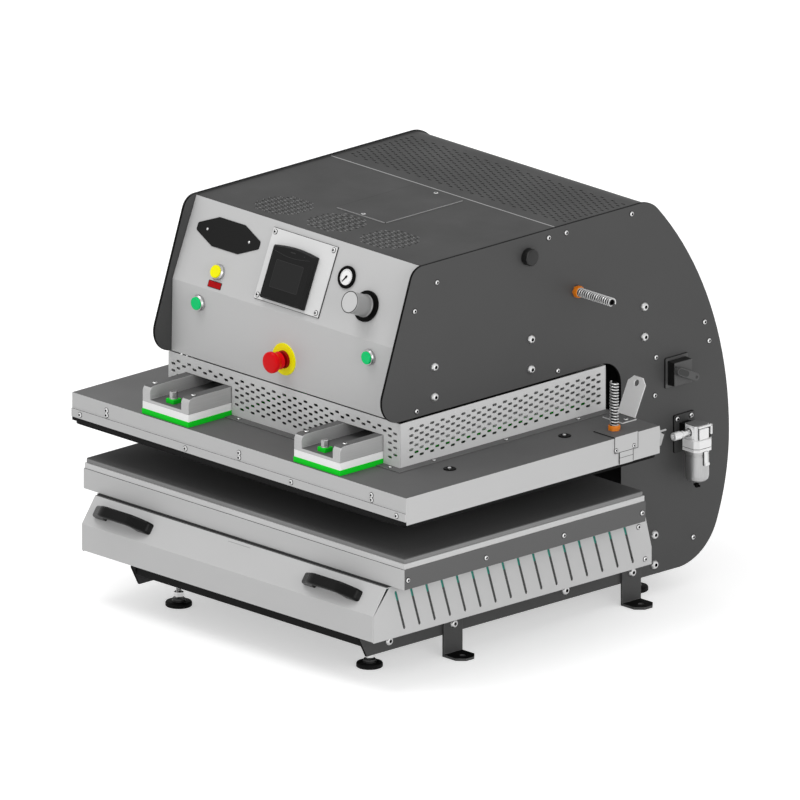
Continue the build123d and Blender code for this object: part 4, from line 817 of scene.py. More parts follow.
def make_perforated_tree():
    """Cuts round-ended slots, one on every point, through a sheet of the given outline."""
    wiring, given, put = open_geometry("Perforated sheet", [
        ("Slots", "object"), ("Slot length", "number"), ("Slot width", "number"), ("Thickness", "number"),
        ("Finish", "material"),
    ])
    bar = wiring.add("GeometryNodeCurvePrimitiveQuadrilateral", {
        "Width": given["Slot length"], "Height": given["Slot width"],
    })
    end_radius = wiring.math("MULTIPLY", given["Slot width"], 0.498)
    hole = wiring.add("GeometryNodeFilletCurve", {"Curve": bar.outputs[0], "Radius": end_radius}, mode="POLY")
    hole.inputs["Count"].default_value = 3
    points = wiring.add("GeometryNodeObjectInfo", {"Object": given["Slots"]}).outputs["Geometry"]
    holes = on_points(wiring, points, hole.outputs[0])
    cut = wiring.add("GeometryNodeRealizeInstances", {0: holes}).outputs[0]
    rim = wiring.add("GeometryNodeMeshToCurve", {0: given["Geometry"]}).outputs[0]
    filled = wiring.add("GeometryNodeFillCurve", {0: joined(wiring, cut, rim)}, mode="TRIANGLES").outputs[0]
    flipped = wiring.add("GeometryNodeFlipFaces", {0: filled}).outputs[0]
    walls = wiring.add("GeometryNodeExtrudeMesh", {
        "Mesh": flipped, "Offset Scale": given["Thickness"], "Individual": False,
    }).outputs[0]
    both = joined(wiring, filled, walls)
    merged = wiring.add("GeometryNodeMergeByDistance", {"Geometry": both, "Distance": 1e-6})
    return close_geometry(wiring, given, put, merged.outputs[0])


def make_spring_tree():
    """Winds round wire into a spring that stands on Z."""
    wiring, given, put = open_geometry("Wound spring", [
        ("Turns", "number"), ("Radius", "number"), ("Height", "number"), ("Wire", "number"),
        ("Finish", "material"),
    ])
    line = wiring.add("GeometryNodeCurveSpiral", {
        "Resolution": 28, "Rotations": given["Turns"], "Start Radius": given["Radius"],
        "End Radius": given["Radius"], "Height": given["Height"],
    })
    section = wiring.add("GeometryNodeCurvePrimitiveCircle", {"Resolution": 10, "Radius": given["Wire"]})
    tube = wiring.add("GeometryNodeCurveToMesh", {
        "Curve": line.outputs[0], "Profile Curve": section.outputs[0], "Fill Caps": True,
    })
    return close_geometry(wiring, given, put, tube.outputs[0])


TREE_MAKERS = {
    "Parts on points": make_scatter_tree,
    "Perforated sheet": make_perforated_tree,
    "Wound spring": make_spring_tree,
}


def grow(label, base, values):
    """Runs a geometry node tree on a mesh and returns the plain mesh that comes out."""
    tree = bpy.data.node_groups.get(label) or TREE_MAKERS[label]()
    holder = helper("holder", base)
    modifier = holder.modifiers.new(label, "NODES")
    modifier.node_group = tree
    for item in tree.interface.items_tree:
        if item.item_type == "SOCKET" and item.in_out == "INPUT" and item.name in values:
            modifier[item.identifier] = values[item.name]
    bpy.context.view_layer.update()
    evaluated = holder.evaluated_get(bpy.context.evaluated_depsgraph_get())
    mesh = bpy.data.meshes.new_from_object(evaluated)
    bpy.data.objects.remove(holder)
    bpy.data.meshes.remove(base)
    return mesh


def point_mesh(places):
    """Points with the turn of each place."""
    mesh = bpy.data.meshes.new("spots")
    mesh.from_pydata([where.translation for where in places], [], [])
    turns = mesh.attributes.new("turn", "FLOAT_VECTOR", "POINT")
    for index, where in enumerate(places):
        turns.data[index].vector = where.to_euler("XYZ")
    return mesh


def helper(name, data):
    """An object of some data, put in the scene."""
    thing = bpy.data.objects.new(name, data)
    bpy.context.scene.collection.objects.link(thing)
    return thing


def drop(thing):
    """Takes a helper and its mesh away again."""
    mesh = thing.data
    bpy.data.objects.remove(thing)
    bpy.data.meshes.remove(mesh)


def one_finish(mesh, label):
    """Leaves the mesh a single finish in its first slot."""
    mesh.materials.clear()
    mesh.materials.append(finish(label))
    mesh.polygons.foreach_set("material_index", [0] * len(mesh.polygons))
    return mesh


def scatter(part, places, label):
    """Copies of a part mesh, in metres, on every place, as one mesh."""
    holder = helper("part", part)
    spots = point_mesh([unscaled(where) for where in places])
    mesh = grow("Parts on points", spots, {"Part": holder, "Finish": finish(label)})
    drop(holder)
    return one_finish(mesh, label)


def perforated(outline, slots, where, label, thickness=None, slot=None):
    """A slotted sheet on a place, from its outline and the slots' middles in millimetres."""
    count = len(outline)
    base = bpy.data.meshes.new("outline")
    edges = [(i, (i + 1) % count) for i in range(count)]
    base.from_pydata([(x * MM, y * MM, 0) for x, y in outline], edges, [])
    holder = helper("slots", point_mesh([Matrix.Translation((x * MM, y * MM, 0)) for x, y in slots]))
    chosen = sizes()
    length, width = slot or (chosen.slot_length, chosen.slot_width)
    mesh = grow("Perforated sheet", base, {
        "Slots": holder, "Slot length": length, "Slot width": width,
        "Thickness": thickness or chosen.sheet, "Finish": finish(label),
    })
    drop(holder)
    mesh.transform(unscaled(where))
    return one_finish(mesh, label)


def strip(low, high, length):
    """The outline of a strip from low to high along X, centred along Y."""
    return [(low, -length / 2), (high, -length / 2), (high, length / 2), (low, length / 2)]


def bolt_part():
    """A domed head with a hexagon socket."""
    radius = sizes().bolt_head / MM
    shape = Shape()
    here = flat(0, 0, 0)
    dome = [(radius, 0), (radius, 1.2), (radius - 0.7, 3.2), (radius - 2.3, 5.0), (radius * 0.5, 5.8)]
    rim = shape.lathe(here, dome, 24, lid=False)
    points = []
    for i in range(24):
        angle = 2 * math.pi * i / 24
        reach = 3.1 / math.cos((angle + math.pi / 6) % (math.pi / 3) - math.pi / 6)
        points.append((reach * math.cos(angle), reach * math.sin(angle)))
    shape.recess_in(here, rim, points, 5.7, 2.6)
    return shape.done()


def screw_part(radius=None, height=2.3):
    """A small button head with a socket, whose socket and seat ring are marked for painted shade."""
    radius = radius or sizes().screw_head / MM
    shape = Shape()
    here = flat(0, 0, 0)
    seat = shape.ring(here, [(x, y, 0) for x, y in circle(radius + 0.9, 18)])
    raised = shape.ring(here, [(x, y, 0.25) for x, y in circle(radius + 0.8, 18)])
    foot = shape.ring(here, [(x, y, 0.25) for x, y in circle(radius, 18)])
    shape.face(seat[::-1], shade_mark=1.0)
    shape.bridge(seat, raised, shade_mark=1.0)
    shape.bridge(raised, foot, shade_mark=1.0)
    button = [(radius, 0.25), (radius, height * 0.4), (radius * 0.84, height * 0.8), (radius * 0.64, height)]
    rim = shape.lathe(here, button, 18, lid=False)
    shape.recess_in(here, rim, circle(radius * 0.5, 18), height, height * 0.45)
    return shape.done()


def plated_screws(name, heads, body, part=None, replaced=()):
    """Settles one piece of plated screws, with a head on every place."""
    mesh = scatter(part or screw_part(), heads, "zinc plating")
    settle(name, mesh, ["zinc plating"], body, replaced)


def arc_points(centre, radius, start, end, count):
    """Points along an arc, whose ends are given in degrees."""
    points = []
    for i in range(count + 1):
        angle = math.radians(start + (end - start) * i / count)
        points.append((centre[0] + radius * math.cos(angle), centre[1] + radius * math.sin(angle)))
    return points


def bent(corners, steps=6):
    """An outline whose corners, given as X, Y and radius, are rounded."""
    points = []
    for i, (x, y, radius) in enumerate(corners):
        here = Vector((x, y))
        if radius == 0:
            points.append((x, y))
            continue
        before = Vector(corners[i - 1][:2]) - here
        after = Vector(corners[(i + 1) % len(corners)][:2]) - here
        reach = radius / math.tan(before.angle(after) / 2)
        start = here + before.normalized() * reach
        end = here + after.normalized() * reach
        for step in range(steps + 1):
            t = step / steps
            points.append(tuple(start * (1 - t) ** 2 + here * 2 * t * (1 - t) + end * t ** 2))
    return points


class PressPiece:
    """What every operator of the press shares."""

    bl_options = {"REGISTER"}


class HEATPRESS_OT_side_plates(PressPiece, bpy.types.Operator):
    """Shows the two side plates with eased edges"""

    bl_idname = "heatpress.side_plates"
    bl_label = "Side plates"

    def execute(self, context):
        coats = ["plate coat", "plate edge and painted shade"]
        dress("plate_left", "left_side_plate", coats, "frame", other=plate_edge)
        dress("plate_right", "right_side_plate", coats, "frame", other=plate_edge)
        return {"FINISHED"}


class HEATPRESS_OT_inner_frame(PressPiece, bpy.types.Operator):
    """Shows rails, back panel, cylinders, bushes and control gear"""

    bl_idname = "heatpress.inner_frame"
    bl_label = "Inner frame"

    def execute(self, context):
        dress("rails", "cross_rails", ["black coat"], "frame")
        dress("column_back_panel", "throat_back_panel", ["black coat"], "frame")
        dress("cylinder_plates", "cylinder_mounts", ["ground steel"], "frame")
        dress("cylinder_barrels", "cylinders_and_bushes", ["bright steel"], "frame")
        dress("control_blocks", "control_gear", ["dark plastic"], "frame")
        return {"FINISHED"}


def vented_sheet():
    """The level sheet of the head, with three round groups of dashes, whose walls in turn take a lighter grey
    as painted light.
    """
    half, front, rear = 297.0, -294.0, 44.0
    vent_radius, row_pitch, dash_pitch = 54, 7.8, 8.6
    slots = []
    for centre in VENT_X:
        for row in range(-6, 7):
            reach = math.sqrt(vent_radius ** 2 - (row * row_pitch) ** 2)
            for column in range(-7, 8):
                x = (column + (0.5 if row % 2 else 0)) * dash_pitch
                if abs(x) < reach:
                    slots.append((centre + x, back(VENT_BACK) + row * row_pitch))
    outline = [(-half, front), (half, front), (half, rear), (-half, rear)]
    sheet = perforated(outline, slots, flat(0, 0, COVER_TOP), "head coat", 0.0015, (0.0056, 0.0030))
    sheet.materials.append(finish("vent grey painted light"))
    middle, margin = back(VENT_BACK) * MM, 0.06
    # Painted light: every other dash's walls take the lighter grey.
    for wall in sheet.polygons:
        inside = abs(wall.center.y - middle) < margin and abs(wall.normal.z) < 0.5
        if inside and round(wall.center.x / (dash_pitch * MM)) % 2:
            wall.material_index = 1
    return sheet


class HEATPRESS_OT_head_covers(PressPiece, bpy.types.Operator):
    """Shows the control fascia, the vented top cover and its hatch"""

    bl_idname = "heatpress.head_covers"
    bl_label = "Head covers"

    def execute(self, context):
        dress("fascia_sheet", "control_fascia", ["panel coat"], "frame", crease=FOLD_CREASE)
        settle("top_sheet", vented_sheet(), ["head coat"], "frame", ["top_cover"])
        hatch = Shape()
        hatch.prism(flat(0, back(402.5), COVER_TOP), rounded(130, 195, 3), 0, 1.5, 0.5)
        # Painted highlight and shadow: light grey strips along the hatch's front and right edges, and a black
        # one along its left edge.
        for left, right, near, far, material in (
            (-63, 63, 304.3, 305.2, 1), (64.8, 65.7, 307, 498, 1), (-66.0, -64.6, 307, 498, 2),
        ):
            hatch.box(left, right, back(near), back(far), COVER_TOP, COVER_TOP + 1.4, 0.1, material)
        coats = ["head coat", "seam grey and painted highlight", "gap black and painted shade"]
        settle("hatch_sheet", hatch.done(), coats, "frame", ["access_hatch"])
        heads = [flat(0, back(y), COVER_TOP + 1.5) for y in (311.5, 493.5)]
        plated_screws("hatch_screws", heads, "frame", screw_part(4.2, 1.2))
        # Painted light: light grey discs under the vents show through the dashes.
        under = Shape()
        for x in VENT_X:
            under.lathe(flat(x, back(VENT_BACK), COVER_TOP - 2.6), [(0, 0), (58, 0), (58, 0.8), (0, 0.8)])
        settle("vent_screens", under.done(), ["vent grey painted light"], "frame")
        seam = Shape()
        seam.box(-297, 297, back(511.8), back(514.2), COVER_TOP - 1.5, COVER_TOP + 0.2, 0.1)
        settle("cover_seam", seam.done(), ["seam grey and painted highlight"], "frame")
        return {"FINISHED"}


def heel_arc(start, heading, end, count):
    """Points of the arc that leaves start in a heading and reaches end."""
    side = Vector((-heading.y, heading.x))
    span = end - start
    radius = span.length_squared / (2 * span.dot(side))
    centre = start + side * radius
    first = math.atan2(start.y - centre.y, start.x - centre.x)
    last = math.atan2(end.y - centre.y, end.x - centre.x)
    while last - first > math.pi:
        last -= 2 * math.pi
    while first - last > math.pi:
        last += 2 * math.pi
    points = []
    for i in range(1, count + 1):
        angle = first + (last - first) * i / count
        x = centre.x + abs(radius) * math.cos(angle)
        y = centre.y + abs(radius) * math.sin(angle)
        points.append(Vector((x, y)))
    turned = points[-1] - centre
    ahead = Vector((-turned.y, turned.x)).normalized() * (1 if last > first else -1)
    return points, ahead


def rear_line():
    """The rear cover's outer line in Y and Z, from the top seam down to the heel."""
    centre = Vector((back(258.6), 276.8))
    radius = 680.3
    corner = 60.0
    corner_z = COVER_TOP - corner
    corner_y = centre.x + math.sqrt((radius - corner) ** 2 - (corner_z - centre.y) ** 2)
    meet = math.degrees(math.atan2(corner_z - centre.y, corner_y - centre.x))
    line = [Vector((back(513.3), COVER_TOP)), Vector((corner_y, COVER_TOP))]
    line += [Vector(p) for p in arc_points((corner_y, corner_z), corner, 90, meet, 8)[1:]]
    line += [Vector(p) for p in arc_points(centre, radius, meet, 0, 60)[1:]]
    heel, toe = Vector((back(907.4), 109.8)), Vector((back(818.9), 44.0))
    lower, ahead = heel_arc(line[-1], Vector((0, -1)), heel, 16)
    foot, ahead = heel_arc(lower[-1], ahead, toe, 10)
    return line + lower + foot


def walk(line, step):
    """Points at even steps along a line."""
    total = sum((b - a).length for a, b in zip(line, line[1:]))
    count = int(total / step)
    points = [line[0]]
    wanted = total / count
    gone = 0.0
    for a, b in zip(line, line[1:]):
        length = (b - a).length
        while wanted <= gone + length + 1e-9 and len(points) < count:
            points.append(a.lerp(b, (wanted - gone) / length))
            wanted = total / count * len(points)
        gone += length
    points.append(line[-1])
    return points


class HEATPRESS_OT_rear_cover(PressPiece, bpy.types.Operator):
    """Bends the slotted rear cover round the back"""

    bl_idname = "heatpress.rear_cover"
    bl_label = "Rear cover"

    def execute(self, context):
        row_rise, margin, wall = 6.7, 297.2, 2.0
        slotted_rows, bare_rows = range(4, 125), range(28, 39)
        pitch = sizes().slot_pitch / MM
        spots = walk(rear_line(), row_rise)
        shape = Shape()
        tiles = []
        for index, (here, there) in enumerate(zip(spots, spots[1:])):
            along = (there - here).normalized()
            length = (there - here).length
            middle = (here + there) / 2
            where = place((0, middle.x, middle.y), z_dir=(0, -along.y, along.x))
            spans = [(-margin, margin)]
            if index in slotted_rows and index not in bare_rows:
                many = 21 if index % 2 else 20
                edge = many * pitch / 2
                # Painted shade: a grey sheet behind each slotted row stands for the shade inside the cover.
                shape.prism(where, strip(-edge, edge, length), -wall - 1.4, -wall - 0.6, 0, 1)
                spans = [(-margin, -edge), (edge, margin)]
                for column in range(many):
                    x = (column - (many - 1) / 2) * pitch
                    tiles.append(where @ Matrix.Translation((x, 0, 0)))
            for low, high in spans:
                shape.prism(where, strip(low, high, length), -wall, 0, 0)
        row = strip(-pitch / 2, pitch / 2, (spots[50] - spots[51]).length)
        tile = perforated(row, [(0, 0)], flat(0, 0, 0), "head coat", 0.0012, (0.0095, 0.0032))
        shape.take(scatter(tile, tiles, "head coat"))
        coats = ["head coat", "screen grey painted shade"]
        settle("rear_sheet", shape.done(), coats, "frame", ["rear_cover"])
        return {"FINISHED"}


class HEATPRESS_OT_bench_brackets(PressPiece, bpy.types.Operator):
    """Shows the four bench brackets, with painted shade on their level faces"""

    bl_idname = "heatpress.bench_brackets"
    bl_label = "Bench brackets"

    def execute(self, context):
        coats = ["plate coat", "plate edge and painted shade"]
        # Painted shade: the level faces take the black of the plate edges.
        dress("brackets", "bench_brackets", coats, "frame", 0.7, shaded_top)
        return {"FINISHED"}


BOLT_SPOTS = [
    (202, 500), (202, 557.5), (444, 500), (444, 557.5), (728, 500), (728, 557.5),
    (88, 60), (530, 60), (753, 60), (753, 117),
]
SCREW_SPOTS = [
    (209, 717), (153, 674), (489, 741), (533, 741), (697, 741), (158, 482), (512, 482), (880, 495),
    (891, 457), (758, 454), (755, 382), (851, 91),
]


class HEATPRESS_OT_frame_fasteners(PressPiece, bpy.types.Operator):
    """Puts domed bolts and small screws on the side plates"""

    bl_idname = "heatpress.frame_fasteners"
    bl_label = "Frame fasteners"

    def execute(self, context):
        bolts = []
        screws = []
        bracket_y, bracket_z, bracket_wall = 223.5, 60, 5
        for side in (-1, 1):
            bolts += [on_side(side, back(y), z) for y, z in BOLT_SPOTS]
            bolts += [on_side(side, y, bracket_z, out=bracket_wall) for y in (-bracket_y, bracket_y)]
            screws += [on_side(side, back(y), z) for y, z in SCREW_SPOTS]
        shape = Shape()
        shape.take(scatter(bolt_part(), bolts, "zinc plating"))
        shape.take(scatter(screw_part(), screws, "zinc plating"))
        settle("plate_fasteners", shape.done(), ["zinc plating"], "frame", ["frame_screws"])
        return {"FINISHED"}


def clipped(width, height, cut):
    """A rectangle with cut corners about the middle."""
    x, y = width / 2, height / 2
    return [
        (x, -y + cut), (x, y - cut), (x - cut, y), (-x + cut, y),
        (-x, y - cut), (-x, -y + cut), (-x + cut, -y), (x - cut, -y),
    ]


class HEATPRESS_OT_nameplate(PressPiece, bpy.types.Operator):
    """Makes the bare nameplate with its rivets and the bare red tag"""

    bl_idname = "heatpress.nameplate"
    bl_label = "Bare nameplate"

    def execute(self, context):
        shape = Shape()
        corners = [
            (82, -7, 5), (82, 7, 5), (34, 27.5, 7), (-34, 27.5, 7),
            (-82, 7, 5), (-82, -7, 5), (-34, -27.5, 7), (34, -27.5, 7),
        ]
        x, plate_up, tag_up = -190, 105, 12
        shape.prism(on_slope(x, plate_up), bent(corners), 0, 1.5, 0.5)
        for side in (-1, 1):
            rivet = on_slope(x + side * 55, plate_up, 1.2)
            shape.lathe(rivet, [(2.6, 0), (2.4, 0.8), (1.5, 1.4), (0, 1.6)], 20, 1)
        shape.prism(on_slope(x, tag_up), rounded(34, 13, 1.5), 0, 0.8, 0.2)
        shape.prism(on_slope(x, tag_up), rounded(32, 11, 1.0), 0.8, 1.0, 0.1, 2)
        coats = ["case black", "zinc plating", "tag red"]
        settle("blank_plates", shape.done(), coats, "frame", ["nameplate_blank"])
        return {"FINISHED"}


class HEATPRESS_OT_controller(PressPiece, bpy.types.Operator):
    """Makes the controller with its plate, arched housing and display"""

    bl_idname = "heatpress.controller"
    bl_label = "Controller"

    def execute(self, context):
        plate = Shape()
        middle = on_slope(0, 78.5)
        plate.prism(middle, rounded(170, 135, 1.0), 0, 1.6, 0, 1)
        plate.prism(middle, rounded(168.4, 133.4, 1.0), 1.6, 3, 0.5)
        coats = ["controller plate", "shadow plastic"]
        settle("controller_backing", plate.done(), coats, "frame", ["controller_plate"])
        heads = [on_slope(x, h, 3) for x in (-77, 77) for h in (19, 138)]
        plated_screws("controller_screws", heads, "frame", screw_part(4.4))
        arch = [(56 - 112 * i / 16, 47.5 + 5.0 * math.sin(math.pi * i / 16)) for i in range(17)]
        outline = [(-54.5, -52.25), (54.5, -52.25), (56, -50.75), *arch, (-56, -50.75)]
        case = Shape()
        case_x, case_up = -8, 68.75
        here = on_slope(case_x, case_up)
        low = case.ring(here, [(x, y, 3) for x, y in outline])
        case.face(low[::-1], 1)
        last = low
        for inwards, height in ((0, 8.5), (0.6, 9.8), (3.4, 14.2), (4.4, 14.6)):
            ring = case.ring(here, [(x, y, height) for x, y in inset(outline, inwards)])
            case.bridge(last, ring, 1 if height < 9 else 0)
            last = ring
        case.face(last)
        brow = [(46 - 92 * i / 14, 38.0 - 5.0 * math.sin(math.pi * i / 14)) for i in range(15)]
        under = [(x, y - 0.9) for x, y in brow]
        case.prism(here, brow[::-1] + under, 14.5, 14.8, 0, 2)
        case.prism(on_slope(case_x, case_up + 42.5), rounded(13, 2.0, 0.9), 14.5, 14.9, 0.1, 2)
        case.lathe(on_slope(case_x + 30, case_up + 41.5, 14.6), [(1.1, 0), (1.1, 0.2), (0, 0.2)], 16, 2)
        display = on_slope(case_x, 66)
        edge_line = rounded(72, 52, 2)
        outer = case.ring(display, [(x, y, 14.55) for x, y in edge_line])
        raised = case.ring(display, [(x, y, 14.85) for x, y in inset(edge_line, 0.2)])
        inner = case.ring(display, [(x, y, 14.85) for x, y in inset(edge_line, 0.9)])
        case.bridge(outer, raised, 2)
        case.bridge(raised, inner, 2)
        case.face(inner, 1)
        coats = ["case black", "display black", "case line"]
        settle("controller_housing", case.done(), coats, "frame", ["touch_controller"])
        return {"FINISHED"}


def collar_profile(radius, height, bore):
    """Radius and height round the section of a button's collar."""
    return [
        (bore, 1.0), (radius - 0.4, 0.0), (radius, 0.4), (radius, height * 0.62),
        (radius - 0.5, height * 0.72), (radius - 1.7, height - 0.2), (radius - 2.3, height),
        (bore + 0.2, height), (bore, height - 0.4), (bore, 1.0),
    ]


class HEATPRESS_OT_push_buttons(PressPiece, bpy.types.Operator):
    """Makes the start buttons and the yellow button with their collars"""

    bl_idname = "heatpress.push_buttons"
    bl_label = "Push buttons"

    def execute(self, context):
        spots = {
            "start_left": (on_front(-225, 577.7), "green_cap_left", "green_button_left", "start plastic"),
            "start_right": (on_front(225, 577.7), "green_cap_right", "green_button_right", "start plastic"),
            "yellow_lamp": (on_slope(-189, 36), "yellow_cap", "yellow_button", "lamp plastic"),
        }
        collars = Shape()
        cap = [
            (0, 5.6), (8, 5.6), (12, 5.6), (12, 10.2), (11.6, 11.0), (10.6, 11.5), (9.2, 11.6),
            (7.0, 11.25), (4.0, 11.15), (0, 11.1),
        ]
        for name, (where, body, node, label) in spots.items():
            collars.lathe(where, collar_profile(15, 8, 12.16))
            collars.lathe(where, [(0, 0.6), (12.16, 0.6), (12.16, 1.0), (0, 1.0)], 32, 1)
            button = Shape()
            button.lathe(where, cap)
            button.lathe(where, [(0, -22), (7.9, -22), (7.9, 5.6)], 24)
            settle(name + "_cap", button.done(), [label], body, [node])
        stop = on_front(0, 522)
        collars.lathe(stop, [
            (8.2, 2), (16.8, 2), (16.8, 3.6), (16.0, 4.2), (16.0, 6.6), (15.4, 7.0), (8.2, 7.0), (8.2, 2),
        ], 48, 2)
        coats = ["bright steel", "ring black", "collar red"]
        settle("button_bezels", collars.done(), coats, "frame", ["button_collars"])
        return {"FINISHED"}


class HEATPRESS_OT_emergency_stop(PressPiece, bpy.types.Operator):
    """Makes the yellow disc and the red mushroom head"""

    bl_idname = "heatpress.emergency_stop"
    bl_label = "Emergency stop"

    def execute(self, context):
        where = on_front(0, 522)
        disc = Shape()
        disc.lathe(where, [
            (11.2, 0), (30, 0), (30, 1.6), (29.6, 2.0), (26.2, 2.0), (26.0, 1.8), (24.6, 1.8), (24.4, 2.0),
            (18.2, 2.0), (11.2, 2.0), (11.2, 0),
        ], 64)
        settle("stop_disc", disc.done(), ["disc yellow"], "frame", ["estop_disc"])
        head = Shape()
        head.lathe(where, [
            (0, 13.5), (15.8, 13.5), (16.8, 14.0), (16.4, 16.0), (15.6, 20.0), (16.0, 23.6), (17.6, 26.6),
            (19.2, 28.2), (19.9, 29.6), (20.0, 31.0), (20.0, 34.0), (19.7, 35.6), (18.6, 36.9), (16.6, 37.6),
            (12.0, 37.95), (6.0, 38.0), (0, 38.0),
        ], 64)
        head.lathe(where, [(0, -18), (7.9, -18), (7.9, 13.5)], 24)
        settle("stop_head", head.done(), ["stop plastic"], "estop", ["estop_head"])
        return {"FINISHED"}


class HEATPRESS_OT_gauge(PressPiece, bpy.types.Operator):
    """Makes the pressure gauge with its dial, marks and pointer"""

    bl_idname = "heatpress.gauge"
    bl_label = "Pressure gauge"

    def execute(self, context):
        where = on_slope(126, 98.5)
        case = Shape()
        case.lathe(where, [
            (15.0, 0.6), (20.6, 0), (21, 0.4), (21, 3.6), (20.4, 4.6), (19.0, 5.0), (16.6, 5.0), (15.6, 4.6),
            (15.0, 3.8), (15.0, 0.6),
        ], 64)
        case.lathe(where, [(0, -25), (18.4, -25), (18.4, 0.2)], 48)
        case.lathe(where, [(0, 0.9), (15.2, 0.9), (15.2, 3.6), (0, 3.6)], 48, 1)
        coats = ["ring black", "dial white"]
        settle("gauge_ring", case.done(), coats, "frame", ["gauge_case"])
        count = sizes().dial_ticks
        tick = Shape()
        tick.prism(flat(0, 0, 0), [(-0.9, -0.16), (0.9, -0.16), (0.9, 0.16), (-0.9, 0.16)], 0, 0.12, 0)
        spots = []
        for i in range(count):
            angle = math.radians(225 - 270 * i / (count - 1))
            reach = 12.6 if i % 5 == 0 else 13.2
            spot = where @ Matrix.Translation((reach * math.cos(angle), reach * math.sin(angle), 3.6))
            spots.append(spot @ Matrix.Rotation(angle, 4, "Z"))
        marks = scatter(tick.done(), spots, "ring black")
        settle("gauge_marks", marks, ["ring black"], "frame")
        pointer = Shape()
        turned = where @ Matrix.Rotation(math.radians(235), 4, "Z")
        outline = [(-3.5, -1.5), (2, -1.5), (12.5, -0.7), (12.5, 0.7), (2, 1.5), (-3.5, 1.5)]
        pointer.prism(turned, outline, 3.8, 4.3, 0.1)
        pointer.lathe(where, [(0, 1.4), (2.4, 1.4), (2.4, 4.4), (2.0, 4.7), (0, 4.7)], 24)
        settle("gauge_pointer", pointer.done(), ["ring black"], "needle",
               ["gauge_needle"])
        return {"FINISHED"}


class HEATPRESS_OT_regulator(PressPiece, bpy.types.Operator):
    """Makes the pressure regulator's flange and turned knob"""

    bl_idname = "heatpress.regulator"
    bl_label = "Pressure regulator"

    def execute(self, context):
        where = on_slope(193.5, 59)
        body = Shape()
        body.lathe(where, [
            (0, -55), (23.2, -55), (24, -54), (24, -6.5), (23.5, -6), (15, -6), (15, 0), (28.6, 0), (29, 0.5),
            (29, 4.6), (28.4, 5.6), (27.4, 6), (5, 6), (5, 24), (0, 24),
        ], 64)
        settle("regulator_flange", body.done(), ["ring black"], "frame",
               ["regulator_body"])
        knob = Shape()
        knob.lathe(where, [
            (0, 6.4), (21.25, 6.4), (21.25, 8.6), (20.6, 9.4), (20.2, 10.4), (20.2, 45.6), (20.6, 46.2),
            (21.0, 46.6), (20.7, 47.1), (19.8, 47.4), (18.6, 47.3), (0, 47.3),
        ], 72)
        knob.lathe(where, [(19.2, 47.2), (20.4, 47.2), (20.4, 47.55), (19.2, 47.55), (19.2, 47.2)], 72, 1)
        knob.lathe(where, [(0, 47.2), (18.9, 47.2), (18.6, 47.6), (0, 47.6)], 72, 2)
        coats = ["turned metal", "ring black", "knob face"]
        settle("regulator_grip", knob.done(), coats, "pressure_knob", ["regulator_knob"])
        return {"FINISHED"}


class HEATPRESS_OT_isolator(PressPiece, bpy.types.Operator):
    """Makes the isolator switch with its block and handle"""

    bl_idname = "heatpress.isolator"
    bl_label = "Isolator"

    def execute(self, context):
        where = on_side(1, back(807.5), 418.5)
        base = Shape()
        base.prism(where, rounded(58, 58, 3), 0, 3, 0.8, cap=1)
        low = base.ring(where, [(x, y, 3) for x, y in rounded(46, 46, 1.5)])
        high = base.ring(where, [(x, y, 19.6) for x, y in rounded(44.4, 44.4, 1.5)])
        eased = base.ring(where, [(x, y, 20.9) for x, y in rounded(42.0, 42.0, 1.5)])
        base.bridge(low, high)
        base.bridge(high, eased, 1, 1.0)
        base.face(eased, 1)
        coats = ["shadow plastic", "switch plastic"]
        settle("isolator_box", base.done(), coats, "frame", ["isolator_base"])
        turned = where @ Matrix.Rotation(math.radians(-25), 4, "Z")
        inlay = turned @ Matrix.Translation((-13.5, 0, 0))
        pivot = turned @ Matrix.Translation((21.5, 0, 0))
        handle = Shape()
        handle.lathe(where, [(0, 21.3), (9, 21.3), (9, 24.2), (0, 24.2)], 32)
        handle.prism(turned, rounded(58, 15, 7.4, 8), 24, 35, 1.6)
        handle.prism(inlay, rounded(27, 11.4, 5.6, 8), 34.9, 35.5, 0.3, 1)
        handle.lathe(pivot, [(3.1, 35.0), (2.6, 35.35), (2.2, 35.05), (0, 35.05)], 20, 1)
        coats = ["switch plastic", "dark plastic"]
        settle("isolator_grip", handle.done(), coats, "switch_handle", ["isolator_handle"])
        return {"FINISHED"}


